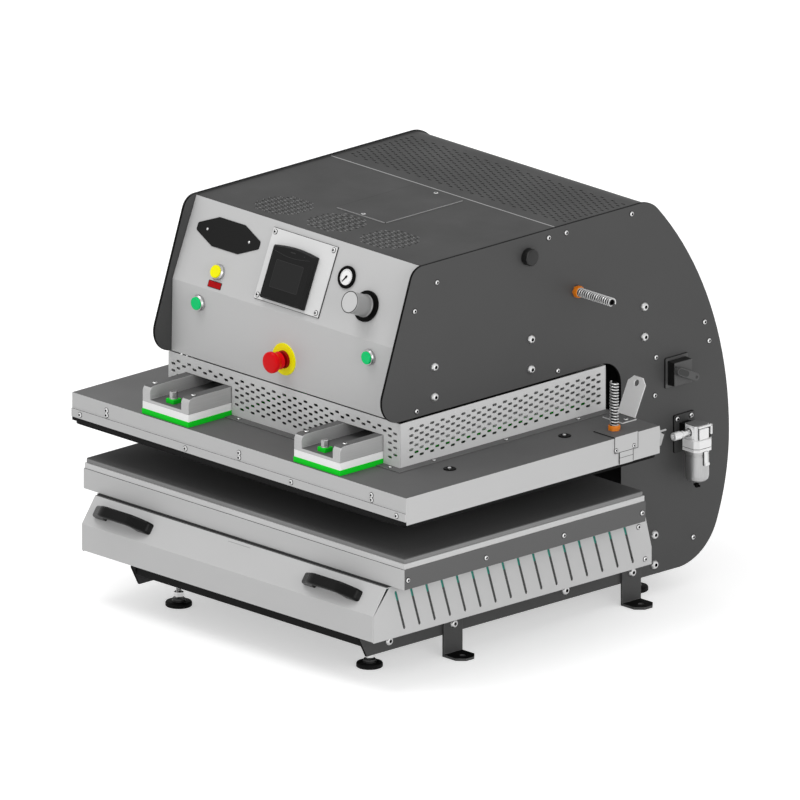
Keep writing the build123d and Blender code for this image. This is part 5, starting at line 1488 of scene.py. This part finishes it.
class HEATPRESS_OT_air_filter(PressPiece, bpy.types.Operator):
    """Makes the air filter with its bracket, head, fittings, bowl and drain"""

    bl_idname = "heatpress.air_filter"
    bl_label = "Air filter"

    def execute(self, context):
        y = back(826)
        wall = 3
        bracket = Shape()
        bracket.prism(on_side(1, y, 298), rounded(51, 72, 3), 0, wall, 0.6, cap=1)
        bracket.box(PLATE_HALF + wall, FILTER_X - 17, y - 12, y + 12, 299, 318.5, 0.6)
        coats = ["black coat", "filter plate grey"]
        settle("filter_plate", bracket.done(), coats, "frame", ["filter_bracket"])
        heads = [on_side(1, y + side * 17.5, 326, out=wall) for side in (-1, 1)]
        plated_screws("filter_screws", heads, "frame", screw_part(4.5))
        head = Shape()
        here = flat(FILTER_X, y, 0)
        head.prism(here, clipped(45, 45, 8), 273, 278.6, 0.8)
        head.prism(here, clipped(43, 43, 7.4), 278.6, 279.8, 0, 2)
        head.prism(here, clipped(45, 45, 8), 279.8, 295, 1.2)
        head.prism(here, clipped(36, 36, 6), 295, 321.6, 1.0, cap=1)
        head.prism(here, clipped(31, 31, 5), 321.5, 322.5, 0.4, 1)
        window = facing_right(FILTER_X + 18, y, 309)
        head.prism(window, [(-14, -13), (17, -13), (17, 12), (-14, 12)], -0.3, 0.2, 0, 2)
        for x, z, outline, low, high, ease in (
            (-1, -2.5, rounded(23, 20, 2.5), 0, 3.0, 1.2), (2, 11, rounded(34, 3.4, 1.2), -0.3, 3.6, 0.6),
            (17, 3, rounded(3.6, 19, 1.2), -0.3, 3.6, 0.6),
        ):
            head.prism(window @ Matrix.Translation((x, z, 0)), outline, low, high, ease)
        arch = [(9.5, -11), *arc_points((0, 1.0), 9.5, 0, 180, 12), (-9.5, -11)]
        port_z = 308.75
        front = facing_front(FILTER_X, y - 18, port_z)
        head.prism(front, arch, 0, 2.2, 0.7)
        head.lathe(front, [(7.8, 2), (7.8, 3.0), (6.6, 3.2)], 32, 2)
        head.prism(front, hexagon(13), 2.6, 8.6, 0.8, 3)
        head.lathe(front, [
            (5.0, 8.4), (4.4, 11.0), (4.4, 15.6), (5.4, 16.6), (6.6, 17.2), (6.6, 20.4), (5.6, 21.0),
            (5.0, 21.6), (5.0, 24.0), (7.0, 24.6), (7.8, 25.6), (7.8, 40.6), (7.0, 41.6), (4.8, 41.6),
            (4.8, 38.0), (0, 38.0),
        ], 32, 4)
        rear = facing_back(FILTER_X, y + 18, port_z)
        head.lathe(rear, [(5, 0), (5, 3), (3, 3.5), (3, 11.4), (2.5, 12), (0, 12)], 24)
        coats = ["white plastic", "filter grey", "shadow plastic", "zinc plating", "fitting metal"]
        settle("filter_block", head.done(), coats, "frame", ["filter_head"])
        bowl = Shape()
        bowl.lathe(here, [
            (0, 212), (3, 212), (12, 212.6), (17, 214.6), (20.4, 218), (21.8, 223), (22, 227), (22, 262),
            (21.4, 263), (21.4, 266), (22, 267), (22, 273.2), (0, 273.2),
        ], 56)
        latch = facing_right(FILTER_X + 21.2, y, 260)
        bowl.prism(latch, rounded(11, 27, 1.5), 0, 1.4, 0.2, 2)
        bowl.prism(latch, rounded(8, 26, 1.5), 0, 3.6, 0.8, 1)
        bowl.prism(latch @ Matrix.Translation((1, -10.5, 0)), rounded(11, 5, 1.2), 3.0, 6.0, 0.6, 1)
        coats = ["bowl metal", "white plastic", "shadow plastic"]
        settle("filter_cup", bowl.done(), coats, "frame", ["filter_bowl"])
        drain = Shape()
        drain.lathe(here, [
            (0, 200), (3.4, 200), (4, 200.6), (4, 207), (3.2, 208), (3.2, 211.6), (0, 211.6),
        ], 24)
        drain.box(FILTER_X - 8, FILTER_X + 8, y - 1, y + 1, 202, 206, 0.4)
        settle("filter_tap", drain.done(), ["black plastic"], "drain", ["filter_drain"])
        return {"FINISHED"}


def gland_mesh(where, height):
    """A hexagon nut with a domed cap that holds the spring."""
    shape = Shape()
    middle = height * 0.42
    shape.prism(where, hexagon(19.5), 0, middle, 0.6)
    shape.lathe(where, [
        (11.2, middle), (10.8, middle + 0.6), (10.8, height - 1.4), (10.5, height - 0.4), (10.1, height),
        (8.9, height), (8.9, height - 6.0), (0, height - 6.0),
    ], 48)
    rib = Shape()
    outline = [(10.4, -0.5), (11.3, -0.4), (11.3, 0.4), (10.4, 0.5)]
    rib.prism(flat(0, 0, 0), outline, middle + 0.4, height - 1.6, 0.2)
    spots = [where @ Matrix.Rotation(math.pi * i / 9, 4, "Z") for i in range(18)]
    shape.take(scatter(rib.done(), spots, "gland orange"))
    return shape.done()


def spring_mesh(where, low, turns):
    """A bend protector's spring with a dark sleeve inside."""
    chosen = sizes()
    height = turns * chosen.spring_pitch
    mesh = grow("Wound spring", bpy.data.meshes.new("seat"), {
        "Turns": turns, "Radius": chosen.spring_radius, "Height": height, "Wire": chosen.spring_wire,
        "Finish": finish("spring steel"),
    })
    mesh.transform(unscaled(where @ Matrix.Translation((0, 0, low))))
    shape = Shape()
    outer = (chosen.spring_radius - chosen.spring_wire) / MM - 0.3
    inner = outer - 0.8
    top = low + height / MM - 1
    shape.lathe(where, [(outer, low), (outer, top), (inner, top), (inner, low), (outer, low)], 32, 1)
    shape.take(one_finish(mesh, "spring steel"))
    return shape.done()


class HEATPRESS_OT_glands(PressPiece, bpy.types.Operator):
    """Makes both cable glands with their bend protector springs"""

    bl_idname = "heatpress.glands"
    bl_label = "Cable glands"

    def execute(self, context):
        side = on_side(1, back(559), 624)
        top = flat(407.6, back(553.5), BRACKET_TOP)
        for where, name, body, node, height, low, turns in (
            (side, "plate_gland", "frame", "side_gland", 10.0, 5.0, 16.1),
            (top, "casing_gland", "platen", "platen_gland", 9.5, 4.4, 15.5),
        ):
            settle(name, gland_mesh(where, height), ["gland orange"], body, [node])
            coil = spring_mesh(where, low, turns)
            settle(name + "_coil", coil, ["spring steel", "shadow plastic"], body, [node + "_spring"])
        return {"FINISHED"}


class HEATPRESS_OT_side_cap(PressPiece, bpy.types.Operator):
    """Makes the black cap on the right plate"""

    bl_idname = "heatpress.side_cap"
    bl_label = "Side cap"

    def execute(self, context):
        cap = Shape()
        cap.lathe(on_side(1, back(436), 717), [
            (10, -5), (10, 0), (15.6, 0), (16, 0.4), (16, 11.6), (15.4, 13.4), (14, 14.6), (12.4, 15),
            (0, 15),
        ], 56)
        settle("plate_cap", cap.done(), ["cap black"], "frame", ["side_cap"])
        return {"FINISHED"}


class HEATPRESS_OT_heated_platen(PressPiece, bpy.types.Operator):
    """Shows the heated platen and the casing over it"""

    bl_idname = "heatpress.heated_platen"
    bl_label = "Heated platen"

    def execute(self, context):
        dress("heater", "heated_platen", ["heater black"], "platen", 1.5)
        coats = ["casing coat", "top coat with painted shade", "heater black"]
        dress("casing_pan", "platen_casing", coats, "platen", 0.8, casing_face)
        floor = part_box("platen_casing")[0][2] / MM
        gap, corner, drop_by, overlap = 2, 16, 4.8, 1
        outline = rounded(2 * CASING_HALF - gap, CASING_DEPTH - gap, corner)
        skirt = Shape()
        skirt.prism(flat(0, back(CASING_DEPTH / 2), 0), outline, floor - drop_by, floor + overlap, 0.3)
        settle("heater_skirt", skirt.done(), ["heater black"], "platen")
        return {"FINISHED"}


class HEATPRESS_OT_insulation(PressPiece, bpy.types.Operator):
    """Shows the white and green insulation boards and the stop blocks"""

    bl_idname = "heatpress.insulation"
    bl_label = "Insulation"

    def execute(self, context):
        dress("white_boards", "insulation_white", ["white board"], "platen", 0.5)
        dress("green_boards", "insulation_green", ["green board"], "platen", 0.5)
        return {"FINISHED"}


class HEATPRESS_OT_press_beams(PressPiece, bpy.types.Operator):
    """Shows the two press beams and their rods"""

    bl_idname = "heatpress.press_beams"
    bl_label = "Press beams"

    def execute(self, context):
        # Painted shade: the beams' level top faces take the darker top coat.
        dress("beams", "press_beams", ["ground steel", "top coat with painted shade"], "platen", 0.9, shaded_top)
        dress("rods", "press_rods", ["chrome"], "platen", 0.8)
        return {"FINISHED"}


def slot_rows():
    """Height of each row of the guard's slots, and whether it is shifted."""
    top_row, row_step = 453.4, 6.7125
    return [(top_row - row_step * i, i % 2 == 1) for i in range(9)]


class HEATPRESS_OT_guard(PressPiece, bpy.types.Operator):
    """Makes the slotted guard round the press beams"""

    bl_idname = "heatpress.guard"
    bl_label = "Slotted guard"

    def execute(self, context):
        pitch, side_pitch = sizes().slot_pitch / MM, 26.06
        half, low, high = 305.5, CASING_TOP, 467.8
        near, far = 113, 629
        notch_in, notch_out, notch_top = BEAM_X - 62.2, BEAM_X + 62.2, STEEL_TOP + 0.6
        notched = [
            (-half, low), (-notch_out, low), (-notch_out, notch_top), (-notch_in, notch_top),
            (-notch_in, low), (notch_in, low), (notch_in, notch_top), (notch_out, notch_top),
            (notch_out, low), (half, low), (half, high), (-half, high),
        ]
        across = []
        for z, shifted in slot_rows():
            for column in range(-11, 12):
                x = (column + (0.5 if shifted else 0)) * pitch
                beside = notch_in - 7 < abs(x) < notch_out + 7 and z < notch_top + 4
                if abs(x) < half - 8 and not beside:
                    across.append((x, z))
        shape = Shape()
        shape.take(perforated(notched, across, facing_front(0, back(near), 0), "guard coat with painted light"))
        rear = place((0, back(far), 0), x_dir=(-1, 0, 0), z_dir=(0, 1, 0))
        plain = [(-half, low), (half, low), (half, high), (-half, high)]
        everywhere = [
            ((column + (0.5 if shifted else 0)) * pitch, z)
            for z, shifted in slot_rows() for column in range(-10, 11 - shifted)
        ]
        shape.take(perforated(plain, everywhere, rear, "guard coat with painted light"))
        for side in (-1, 1):
            where = place((side * half, 0, 0), x_dir=(0, side, 0), z_dir=(side, 0, 0))
            start, end = sorted((side * back(near + 2), side * back(far - 2)))
            outline = [(start, low), (end, low), (end, high), (start, high)]
            along = []
            for z, shifted in slot_rows():
                first = 155.3 if shifted else 142.3
                along += [(side * back(first + side_pitch * k), z) for k in range(18 + (not shifted))]
            shape.take(perforated(outline, along, where, "guard coat with painted light"))
        guard = shape.done(outwards=True)
        settle("guard_sheets", guard, ["guard coat with painted light"], "platen", ["perforated_guard"])
        flange = Shape()
        width, wall = 18, 2
        reach = half + width
        for left, right in ((-reach, -notch_out), (-notch_in, notch_in), (notch_out, reach)):
            flange.box(left, right, back(near - width), back(near), low, low + wall, 0.5)
        for side in (-1, 1):
            left, right = sorted((side * half, side * reach))
            flange.box(left, right, back(near), back(far - 2), low, low + wall, 0.5)
        settle("guard_flanges", flange.done(), ["flange coat and painted shade"], "platen")
        heads = [flat(x, back(near - width / 2), low + wall) for x in (-290, -110, 110, 290)]
        heads += [
            flat(side * (half + width / 2), back(y), low + wall) for side in (-1, 1) for y in (190, 371, 552)
        ]
        plated_screws("guard_screws", heads, "platen", screw_part(3.6))
        return {"FINISHED"}


class HEATPRESS_OT_platen_fittings(PressPiece, bpy.types.Operator):
    """Makes the screws, plugs, hexagon bolts and brackets of the upper platen"""

    bl_idname = "heatpress.platen_fittings"
    bl_label = "Platen fittings"

    def execute(self, context):
        fittings = Shape()
        plug = [(12, 0), (12, 0.9), (10.8, 1.8), (7.5, 2.0), (6.2, 1.1), (0, 0.9)]
        stud = [(3.4, 0.8), (3.4, 2.6), (2.6, 3.6), (1.2, 4.0), (0, 4.1)]
        for x in (-367, 367):
            for y in (180, 468):
                fittings.lathe(flat(x, back(y), CASING_TOP), plug, 40, 1)
                fittings.lathe(flat(x - 1, back(y), CASING_TOP), stud, 20)
        for x in (-BEAM_X, BEAM_X):
            bolt = flat(x, back(26), 420.1)
            fittings.lathe(bolt, [(8.4, 0), (8.4, 1.4), (8.0, 1.8), (0, 1.8)], 32, 2)
            fittings.prism(bolt, hexagon(13), 1.8, 14, 0.9, 2)
        heads = [facing_front(x, back(-2), 344.6) for x in (-418, -139.5, 139.5, 418)]
        heads += [facing_front(x, back(0), z) for x in (-350, 0, 350) for z in (359.1, 368.1)]
        heads += [
            flat(x + side * 50.85, back(27.5), STEEL_TOP) for x in (-BEAM_X, BEAM_X) for side in (-1, 1)
        ]
        heads += [flat(x, back(611), BRACKET_TOP) for x in (345, 378)]
        fittings.take(scatter(screw_part(), heads, "zinc plating"))
        cover_face = CASING_HALF + 1.7
        side = [facing_right(cover_face, back(y), 359.5) for y in (525, 570)]
        fittings.take(scatter(screw_part(3.6, 0.8), side, "zinc plating"))
        coats = ["zinc plating", "ring black", "bolt grey"]
        settle("platen_fasteners", fittings.done(), coats, "platen", ["platen_screws"])
        sheets = worked_copy("platen_brackets", 0.5, bracket_face)
        for vertex in sheets.vertices:
            vertex.co.x = min(vertex.co.x, cover_face * MM)
        coats = ["casing coat", "top coat with painted shade", "gap black and painted shade", "bracket coat"]
        settle("bracket_sheets", sheets, coats, "platen", ["platen_brackets"], EASED_CREASE)
        return {"FINISHED"}


class HEATPRESS_OT_platen_trim(PressPiece, bpy.types.Operator):
    """Makes the dark joint lines round the gland cover and the flap behind the casing"""

    bl_idname = "heatpress.platen_trim"
    bl_label = "Platen trim"

    def execute(self, context):
        near, far = back(522), back(579)
        middle = (near + far) / 2
        foot, tip = CASING_TOP - 28, CASING_TOP - 50
        inner, outer = CASING_HALF - 0.3, CASING_HALF + 1.8
        lines = Shape()
        lines.box(inner, outer, far, far + 1.2, foot - 0.8, CASING_TOP, 0.1)
        lines.box(inner, outer, near - 0.3, far + 1.2, foot - 1.0, foot, 0.1)
        for side in (-1, 1):
            edge = middle + side * 17.1
            lines.box(inner, outer, edge - 0.6, edge + 0.6, tip, foot, 0.1)
        lines.box(inner, outer + 0.1, middle - 16.5, middle + 16.5, foot - 11.5, foot - 10.8, 0.1)
        lines.box(CASING_HALF - 56, CASING_HALF, far, far + 0.8, CASING_TOP, CASING_TOP + 1.8, 0.1)
        settle("cover_lines", lines.done(), ["gap black and painted shade"], "platen")
        flap = Shape()
        side_on = facing_right(CASING_HALF - 5, back(CASING_DEPTH), 0)
        flap.prism(side_on, [(-0.2, 340), (6.4, 341), (15.0, 362), (13.6, 366), (-0.2, 373)], -2, 0, 0.2, 1)
        flap.prism(side_on, [(1.6, 342.5), (5.6, 343), (13.4, 362), (1.6, 369.5)], 0, 2.5, 0.4)
        pin = facing_back(CASING_HALF - 4.5, back(CASING_DEPTH), 369.5)
        flap.lathe(pin, [(2.6, 0.2), (2.6, 6.0), (1.7, 6.4), (1.7, 19), (1.2, 19.6), (0, 19.6)], 16)
        settle("rear_flap", flap.done(), ["flap coat", "gap black and painted shade"], "platen")
        return {"FINISHED"}


class HEATPRESS_OT_drawer_shell(PressPiece, bpy.types.Operator):
    """Shows the drawer's covers, chassis and screws"""

    bl_idname = "heatpress.drawer_shell"
    bl_label = "Drawer shell"

    def execute(self, context):
        coats = ["panel coat", "flange coat and painted shade"]
        # Painted shade: the covers' level top faces take the dark flange coat, so the gap under the tray
        # reads dark.
        dress("drawer_sheets", "drawer_covers", coats, "drawer", 0.5, shaded_top, FOLD_CREASE)
        half, seam_up = 384, 51.5
        # Painted shade: a black strip fills the gap under the tray's front, and a light grey line lies along
        # the slope.
        lip = Shape()
        lip.box(-half, half, back(9), back(14), 195.8, 200, 0.2)
        lip.prism(on_drawer(0, seam_up), rounded(58, 0.9, 0.3, 2), -0.2, 0.2, 0, 1)
        settle("drawer_lip", lip.done(), ["gap black and painted shade", "seam grey and painted highlight"], "drawer")
        # Painted shade: the channels darken below a height behind the drawer's slots.
        dress("drawer_channels", "drawer_chassis", ["chassis paint with painted shade"], "drawer", 0.6)
        heads = []
        for side in (-1, 1):
            for x, y, z in (
                (384.4, 636.5, 176), (384.4, 653, 111), (TRAY_HALF, 21, 218), (TRAY_HALF, 217, 218),
                (TRAY_HALF, 412, 218), (TRAY_HALF, 608, 218),
            ):
                heads.append(on_side(side, back(y), z, out=x - PLATE_HALF))
        plated_screws("drawer_fasteners", heads, "drawer", replaced=["drawer_screws"])
        return {"FINISHED"}


class HEATPRESS_OT_drawer_handles(PressPiece, bpy.types.Operator):
    """Sweeps the two bow handles"""

    bl_idname = "heatpress.drawer_handles"
    bl_label = "Drawer handles"

    def execute(self, context):
        corners = [
            (74, 0, 0), (69, 12, 12), (38, 28, 40), (-38, 28, 40), (-69, 12, 12), (-74, 0, 0),
            (-40, 0, 0), (-33, 18, 8), (33, 18, 8), (40, 0, 0),
        ]
        outline = bent(corners, 8)
        half, ease, steps = 11.0, 4.4, 6
        sections = []
        for step in range(steps + 1):
            angle = math.pi / 2 * step / steps
            sections.append((ease * (1 - math.sin(angle)), -half + ease * (1 - math.cos(angle))))
        sections += [(inwards, -height) for inwards, height in reversed(sections)]
        handles = Shape()
        handle_up = 28
        for x in (-290, 262):
            where = place(DRAWER_FOOT + Vector((x, 0, 0)) + DRAWER_UP * handle_up, z_dir=-DRAWER_UP)
            rings = []
            for inwards, height in sections:
                moved = inset(outline, inwards) if inwards else outline
                points = [
                    (across, 0 if before[1] <= 0 else up, height)
                    for before, (across, up) in zip(outline, moved)
                ]
                rings.append(handles.ring(where, points))
            handles.loft(rings)
        bows = handles.done(outwards=True)
        settle("bow_handles", bows, ["handle black"], "drawer", ["drawer_handles"],
               EASED_CREASE)
        return {"FINISHED"}


class HEATPRESS_OT_lower_platen(PressPiece, bpy.types.Operator):
    """Makes the tray, the aluminium platen and the foam pad"""

    bl_idname = "heatpress.lower_platen"
    bl_label = "Lower platen"

    def execute(self, context):
        tray = worked_copy("lower_tray", 0.8)
        for polygon in tray.polygons:
            polygon.material_index = 1 if along_y(polygon.normal) else 0
        settle("tray_pan", tray, ["flange coat and painted shade", "panel coat"], "drawer", ["lower_tray"])
        dress("platen_plate", "lower_platen", ["aluminium edge"], "drawer", 0.6)
        pad = Shape()
        low, high = 249.3, 258.6
        middle = flat(0, back(314.55), 0)
        width, depth = 841.0, 597.5
        outline = rounded(width, depth, 3)
        last = pad.ring(middle, [(x, y, low) for x, y in outline])
        pad.face(last[::-1])
        for inwards, height in (
            (-0.25, low + 2.5), (-0.3, low + 5.0), (0.0, high - 1.6), (0.5, high - 0.6), (1.5, high - 0.1),
            (3.0, high),
        ):
            ring = pad.ring(middle, [(x, y, height) for x, y in inset(outline, inwards)])
            pad.bridge(last, ring, 1 if height > high - 1 else 0)
            last = ring
        pad.face(last, 1)
        # Painted light: the pad's sides take a lighter copy of the foam than its top, as light falls.
        piece = settle("press_pad", pad.done(), ["foam side with painted light", "foam top"], "drawer", ["foam_pad"])
        return {"FINISHED"}


class HEATPRESS_OT_runners(PressPiece, bpy.types.Operator):
    """Shows the three members of the telescopic runners"""

    bl_idname = "heatpress.runners"
    bl_label = "Runners"

    def execute(self, context):
        dress("outer_rails", "runner_outer", ["zinc plating"], "frame", 0.5)
        dress("middle_rails", "runner_middle", ["zinc plating"], "middle_runner", 0.5)
        dress("inner_rails", "runner_inner", ["zinc plating"], "drawer", 0.5)
        return {"FINISHED"}


class HEATPRESS_OT_feet(PressPiece, bpy.types.Operator):
    """Makes the four levelling feet with threaded studs"""

    bl_idname = "heatpress.feet"
    bl_label = "Levelling feet"

    def execute(self, context):
        spots = {
            "front_left": (-252, 88), "front_right": (252, 88),
            "rear_left": (-252, 753), "rear_right": (252, 753),
        }
        coats = ["rubber black", "crown metal", "chrome"]
        thread = [(5.0 - (0.5 if i % 2 else 0.0), 15 + 0.75 * i) for i in range(50)]
        for name, (x, y) in spots.items():
            foot = Shape()
            where = flat(x, back(y), 0)
            foot.lathe(where, [(0, 0), (23.6, 0), (24.5, 0.9), (24.5, 6), (23.4, 8), (21, 9), (0, 9)])
            foot.lathe(where, [
                (0, 9), (12.4, 9), (12.4, 10.4), (11.4, 11.2), (11.4, 14.4), (10.4, 15.4), (0, 15.4),
            ], material=1)
            foot.lathe(where, [(0, 15), *thread, (4.2, 52.9), (0, 53)], material=2)
            for low in (18.4, 37.7):
                foot.prism(where, hexagon(17), low, low + 8, 0.7, 2)
            settle(name + "_leveller", foot.done(), coats, "foot_" + name, [name + "_foot"])
        return {"FINISHED"}


def lamp(name, location, size, power):
    """A round area lamp that looks at the middle of the press."""
    target = Vector((0, 0, 0.4))
    data = bpy.data.lights.new(name, "AREA")
    data.shape = "DISK"
    data.size = size
    data.energy = power
    thing = helper(name, data)
    thing.location = location
    thing.rotation_euler = (target - Vector(location)).to_track_quat("-Z", "Y").to_euler()


def seen_directly(wiring):
    """One where the camera sees a backdrop, itself or in metal or through glass, and nought for its light."""
    path = wiring.add("ShaderNodeLightPath").outputs
    seen = wiring.math("MAXIMUM", path["Is Camera Ray"], path["Is Glossy Ray"])
    return wiring.math("MAXIMUM", seen, path["Is Transmission Ray"])


class HEATPRESS_OT_stage(PressPiece, bpy.types.Operator):
    """Sets the camera, the floor, the lamps and the world"""

    bl_idname = "heatpress.stage"
    bl_label = "Stage"

    def execute(self, context):
        scene = context.scene
        azimuth, elevation = math.radians(46.507), math.radians(17.634)
        aim, distance = Vector((0, -0.0656, 0.3805)), 6
        flat_reach = math.cos(elevation)
        out = Vector((math.sin(azimuth) * flat_reach, -math.cos(azimuth) * flat_reach, math.sin(elevation)))
        data = bpy.data.cameras.new("camera")
        data.type = "ORTHO"
        data.ortho_scale = 1.4545
        data.clip_end = 60
        camera = helper("camera", data)
        camera.location = aim + out * distance
        camera.rotation_euler = (-out).to_track_quat("-Z", "Y").to_euler()
        scene.camera = camera

        reach = 15.0
        floor_mesh = bpy.data.meshes.new("floor")
        corners = [(-reach, -reach, 0), (reach, -reach, 0), (reach, reach, 0), (-reach, reach, 0)]
        floor_mesh.from_pydata(corners, [], [(0, 1, 2, 3)])
        floor = helper("floor", floor_mesh)
        floor.location.z = -0.0002
        ground = bpy.data.materials.new("pale floor")
        ground.use_nodes = True
        wiring = Wiring(ground.node_tree)
        shader = ground.node_tree.nodes["Principled BSDF"]
        white = (1, 1, 1, 1)
        shader.inputs["Base Color"].default_value = (0.8, 0.8, 0.8, 1)
        shader.inputs["Roughness"].default_value = 0.9
        shader.inputs["Emission Color"].default_value = white
        lift = 0.5
        strength = wiring.math("MULTIPLY", seen_directly(wiring), lift)
        wiring.tree.links.new(strength, shader.inputs["Emission Strength"])
        floor_mesh.materials.append(ground)

        world = bpy.data.worlds.new("studio")
        scene.world = world
        world.use_nodes = True
        wiring = Wiring(world.node_tree)
        background = world.node_tree.nodes["Background"]
        background.inputs["Color"].default_value = white
        as_light = 0.66
        extra = wiring.math("MULTIPLY", seen_directly(wiring), 1 - as_light)
        wiring.tree.links.new(wiring.math("ADD", extra, as_light), background.inputs["Strength"])

        lamp("key", (-0.7, -1.7, 4.3), 2.4, 50)
        lamp("fill", (3.9, -1.1, 1.4), 2.4, 38)
        lamp("rim", (-1.0, 3.2, 3.4), 2.0, 8)
        scene.view_settings.view_transform = "Standard"
        return {"FINISHED"}


OPERATORS = [
    HEATPRESS_OT_stage,
    HEATPRESS_OT_side_plates,
    HEATPRESS_OT_inner_frame,
    HEATPRESS_OT_head_covers,
    HEATPRESS_OT_rear_cover,
    HEATPRESS_OT_bench_brackets,
    HEATPRESS_OT_frame_fasteners,
    HEATPRESS_OT_nameplate,
    HEATPRESS_OT_controller,
    HEATPRESS_OT_push_buttons,
    HEATPRESS_OT_emergency_stop,
    HEATPRESS_OT_gauge,
    HEATPRESS_OT_regulator,
    HEATPRESS_OT_isolator,
    HEATPRESS_OT_air_filter,
    HEATPRESS_OT_glands,
    HEATPRESS_OT_side_cap,
    HEATPRESS_OT_heated_platen,
    HEATPRESS_OT_insulation,
    HEATPRESS_OT_press_beams,
    HEATPRESS_OT_guard,
    HEATPRESS_OT_platen_fittings,
    HEATPRESS_OT_platen_trim,
    HEATPRESS_OT_drawer_shell,
    HEATPRESS_OT_drawer_handles,
    HEATPRESS_OT_lower_platen,
    HEATPRESS_OT_runners,
    HEATPRESS_OT_feet,
]


class HEATPRESS_PT_panel(bpy.types.Panel):
    """Lists the pieces of the heat press"""

    bl_idname = "HEATPRESS_PT_panel"
    bl_label = "Heat press"
    bl_space_type = "VIEW_3D"
    bl_region_type = "UI"
    bl_category = "Heat press"

    def draw(self, context):
        layout = self.layout
        for operator in OPERATORS:
            layout.operator(operator.bl_idname)
        for group in (context.scene.heat_press_colours, context.scene.heat_press_sizes):
            box = layout.box()
            for name in group.bl_rna.properties.keys():
                if name not in ("rna_type", "name"):
                    box.prop(group, name)


CLASSES = [HeatPressColours, HeatPressSizes, *OPERATORS, HEATPRESS_PT_panel]


def register():
    for item in CLASSES:
        bpy.utils.register_class(item)
    bpy.types.Scene.heat_press_colours = bpy.props.PointerProperty(type=HeatPressColours)
    bpy.types.Scene.heat_press_sizes = bpy.props.PointerProperty(type=HeatPressSizes)


def unregister():
    del bpy.types.Scene.heat_press_colours
    del bpy.types.Scene.heat_press_sizes
    for item in reversed(CLASSES):
        bpy.utils.unregister_class(item)


def main():
    register()
    for operator in OPERATORS:
        family, name = operator.bl_idname.split(".")
        getattr(getattr(bpy.ops, family), name)()


if __name__ == "__main__":
    main()
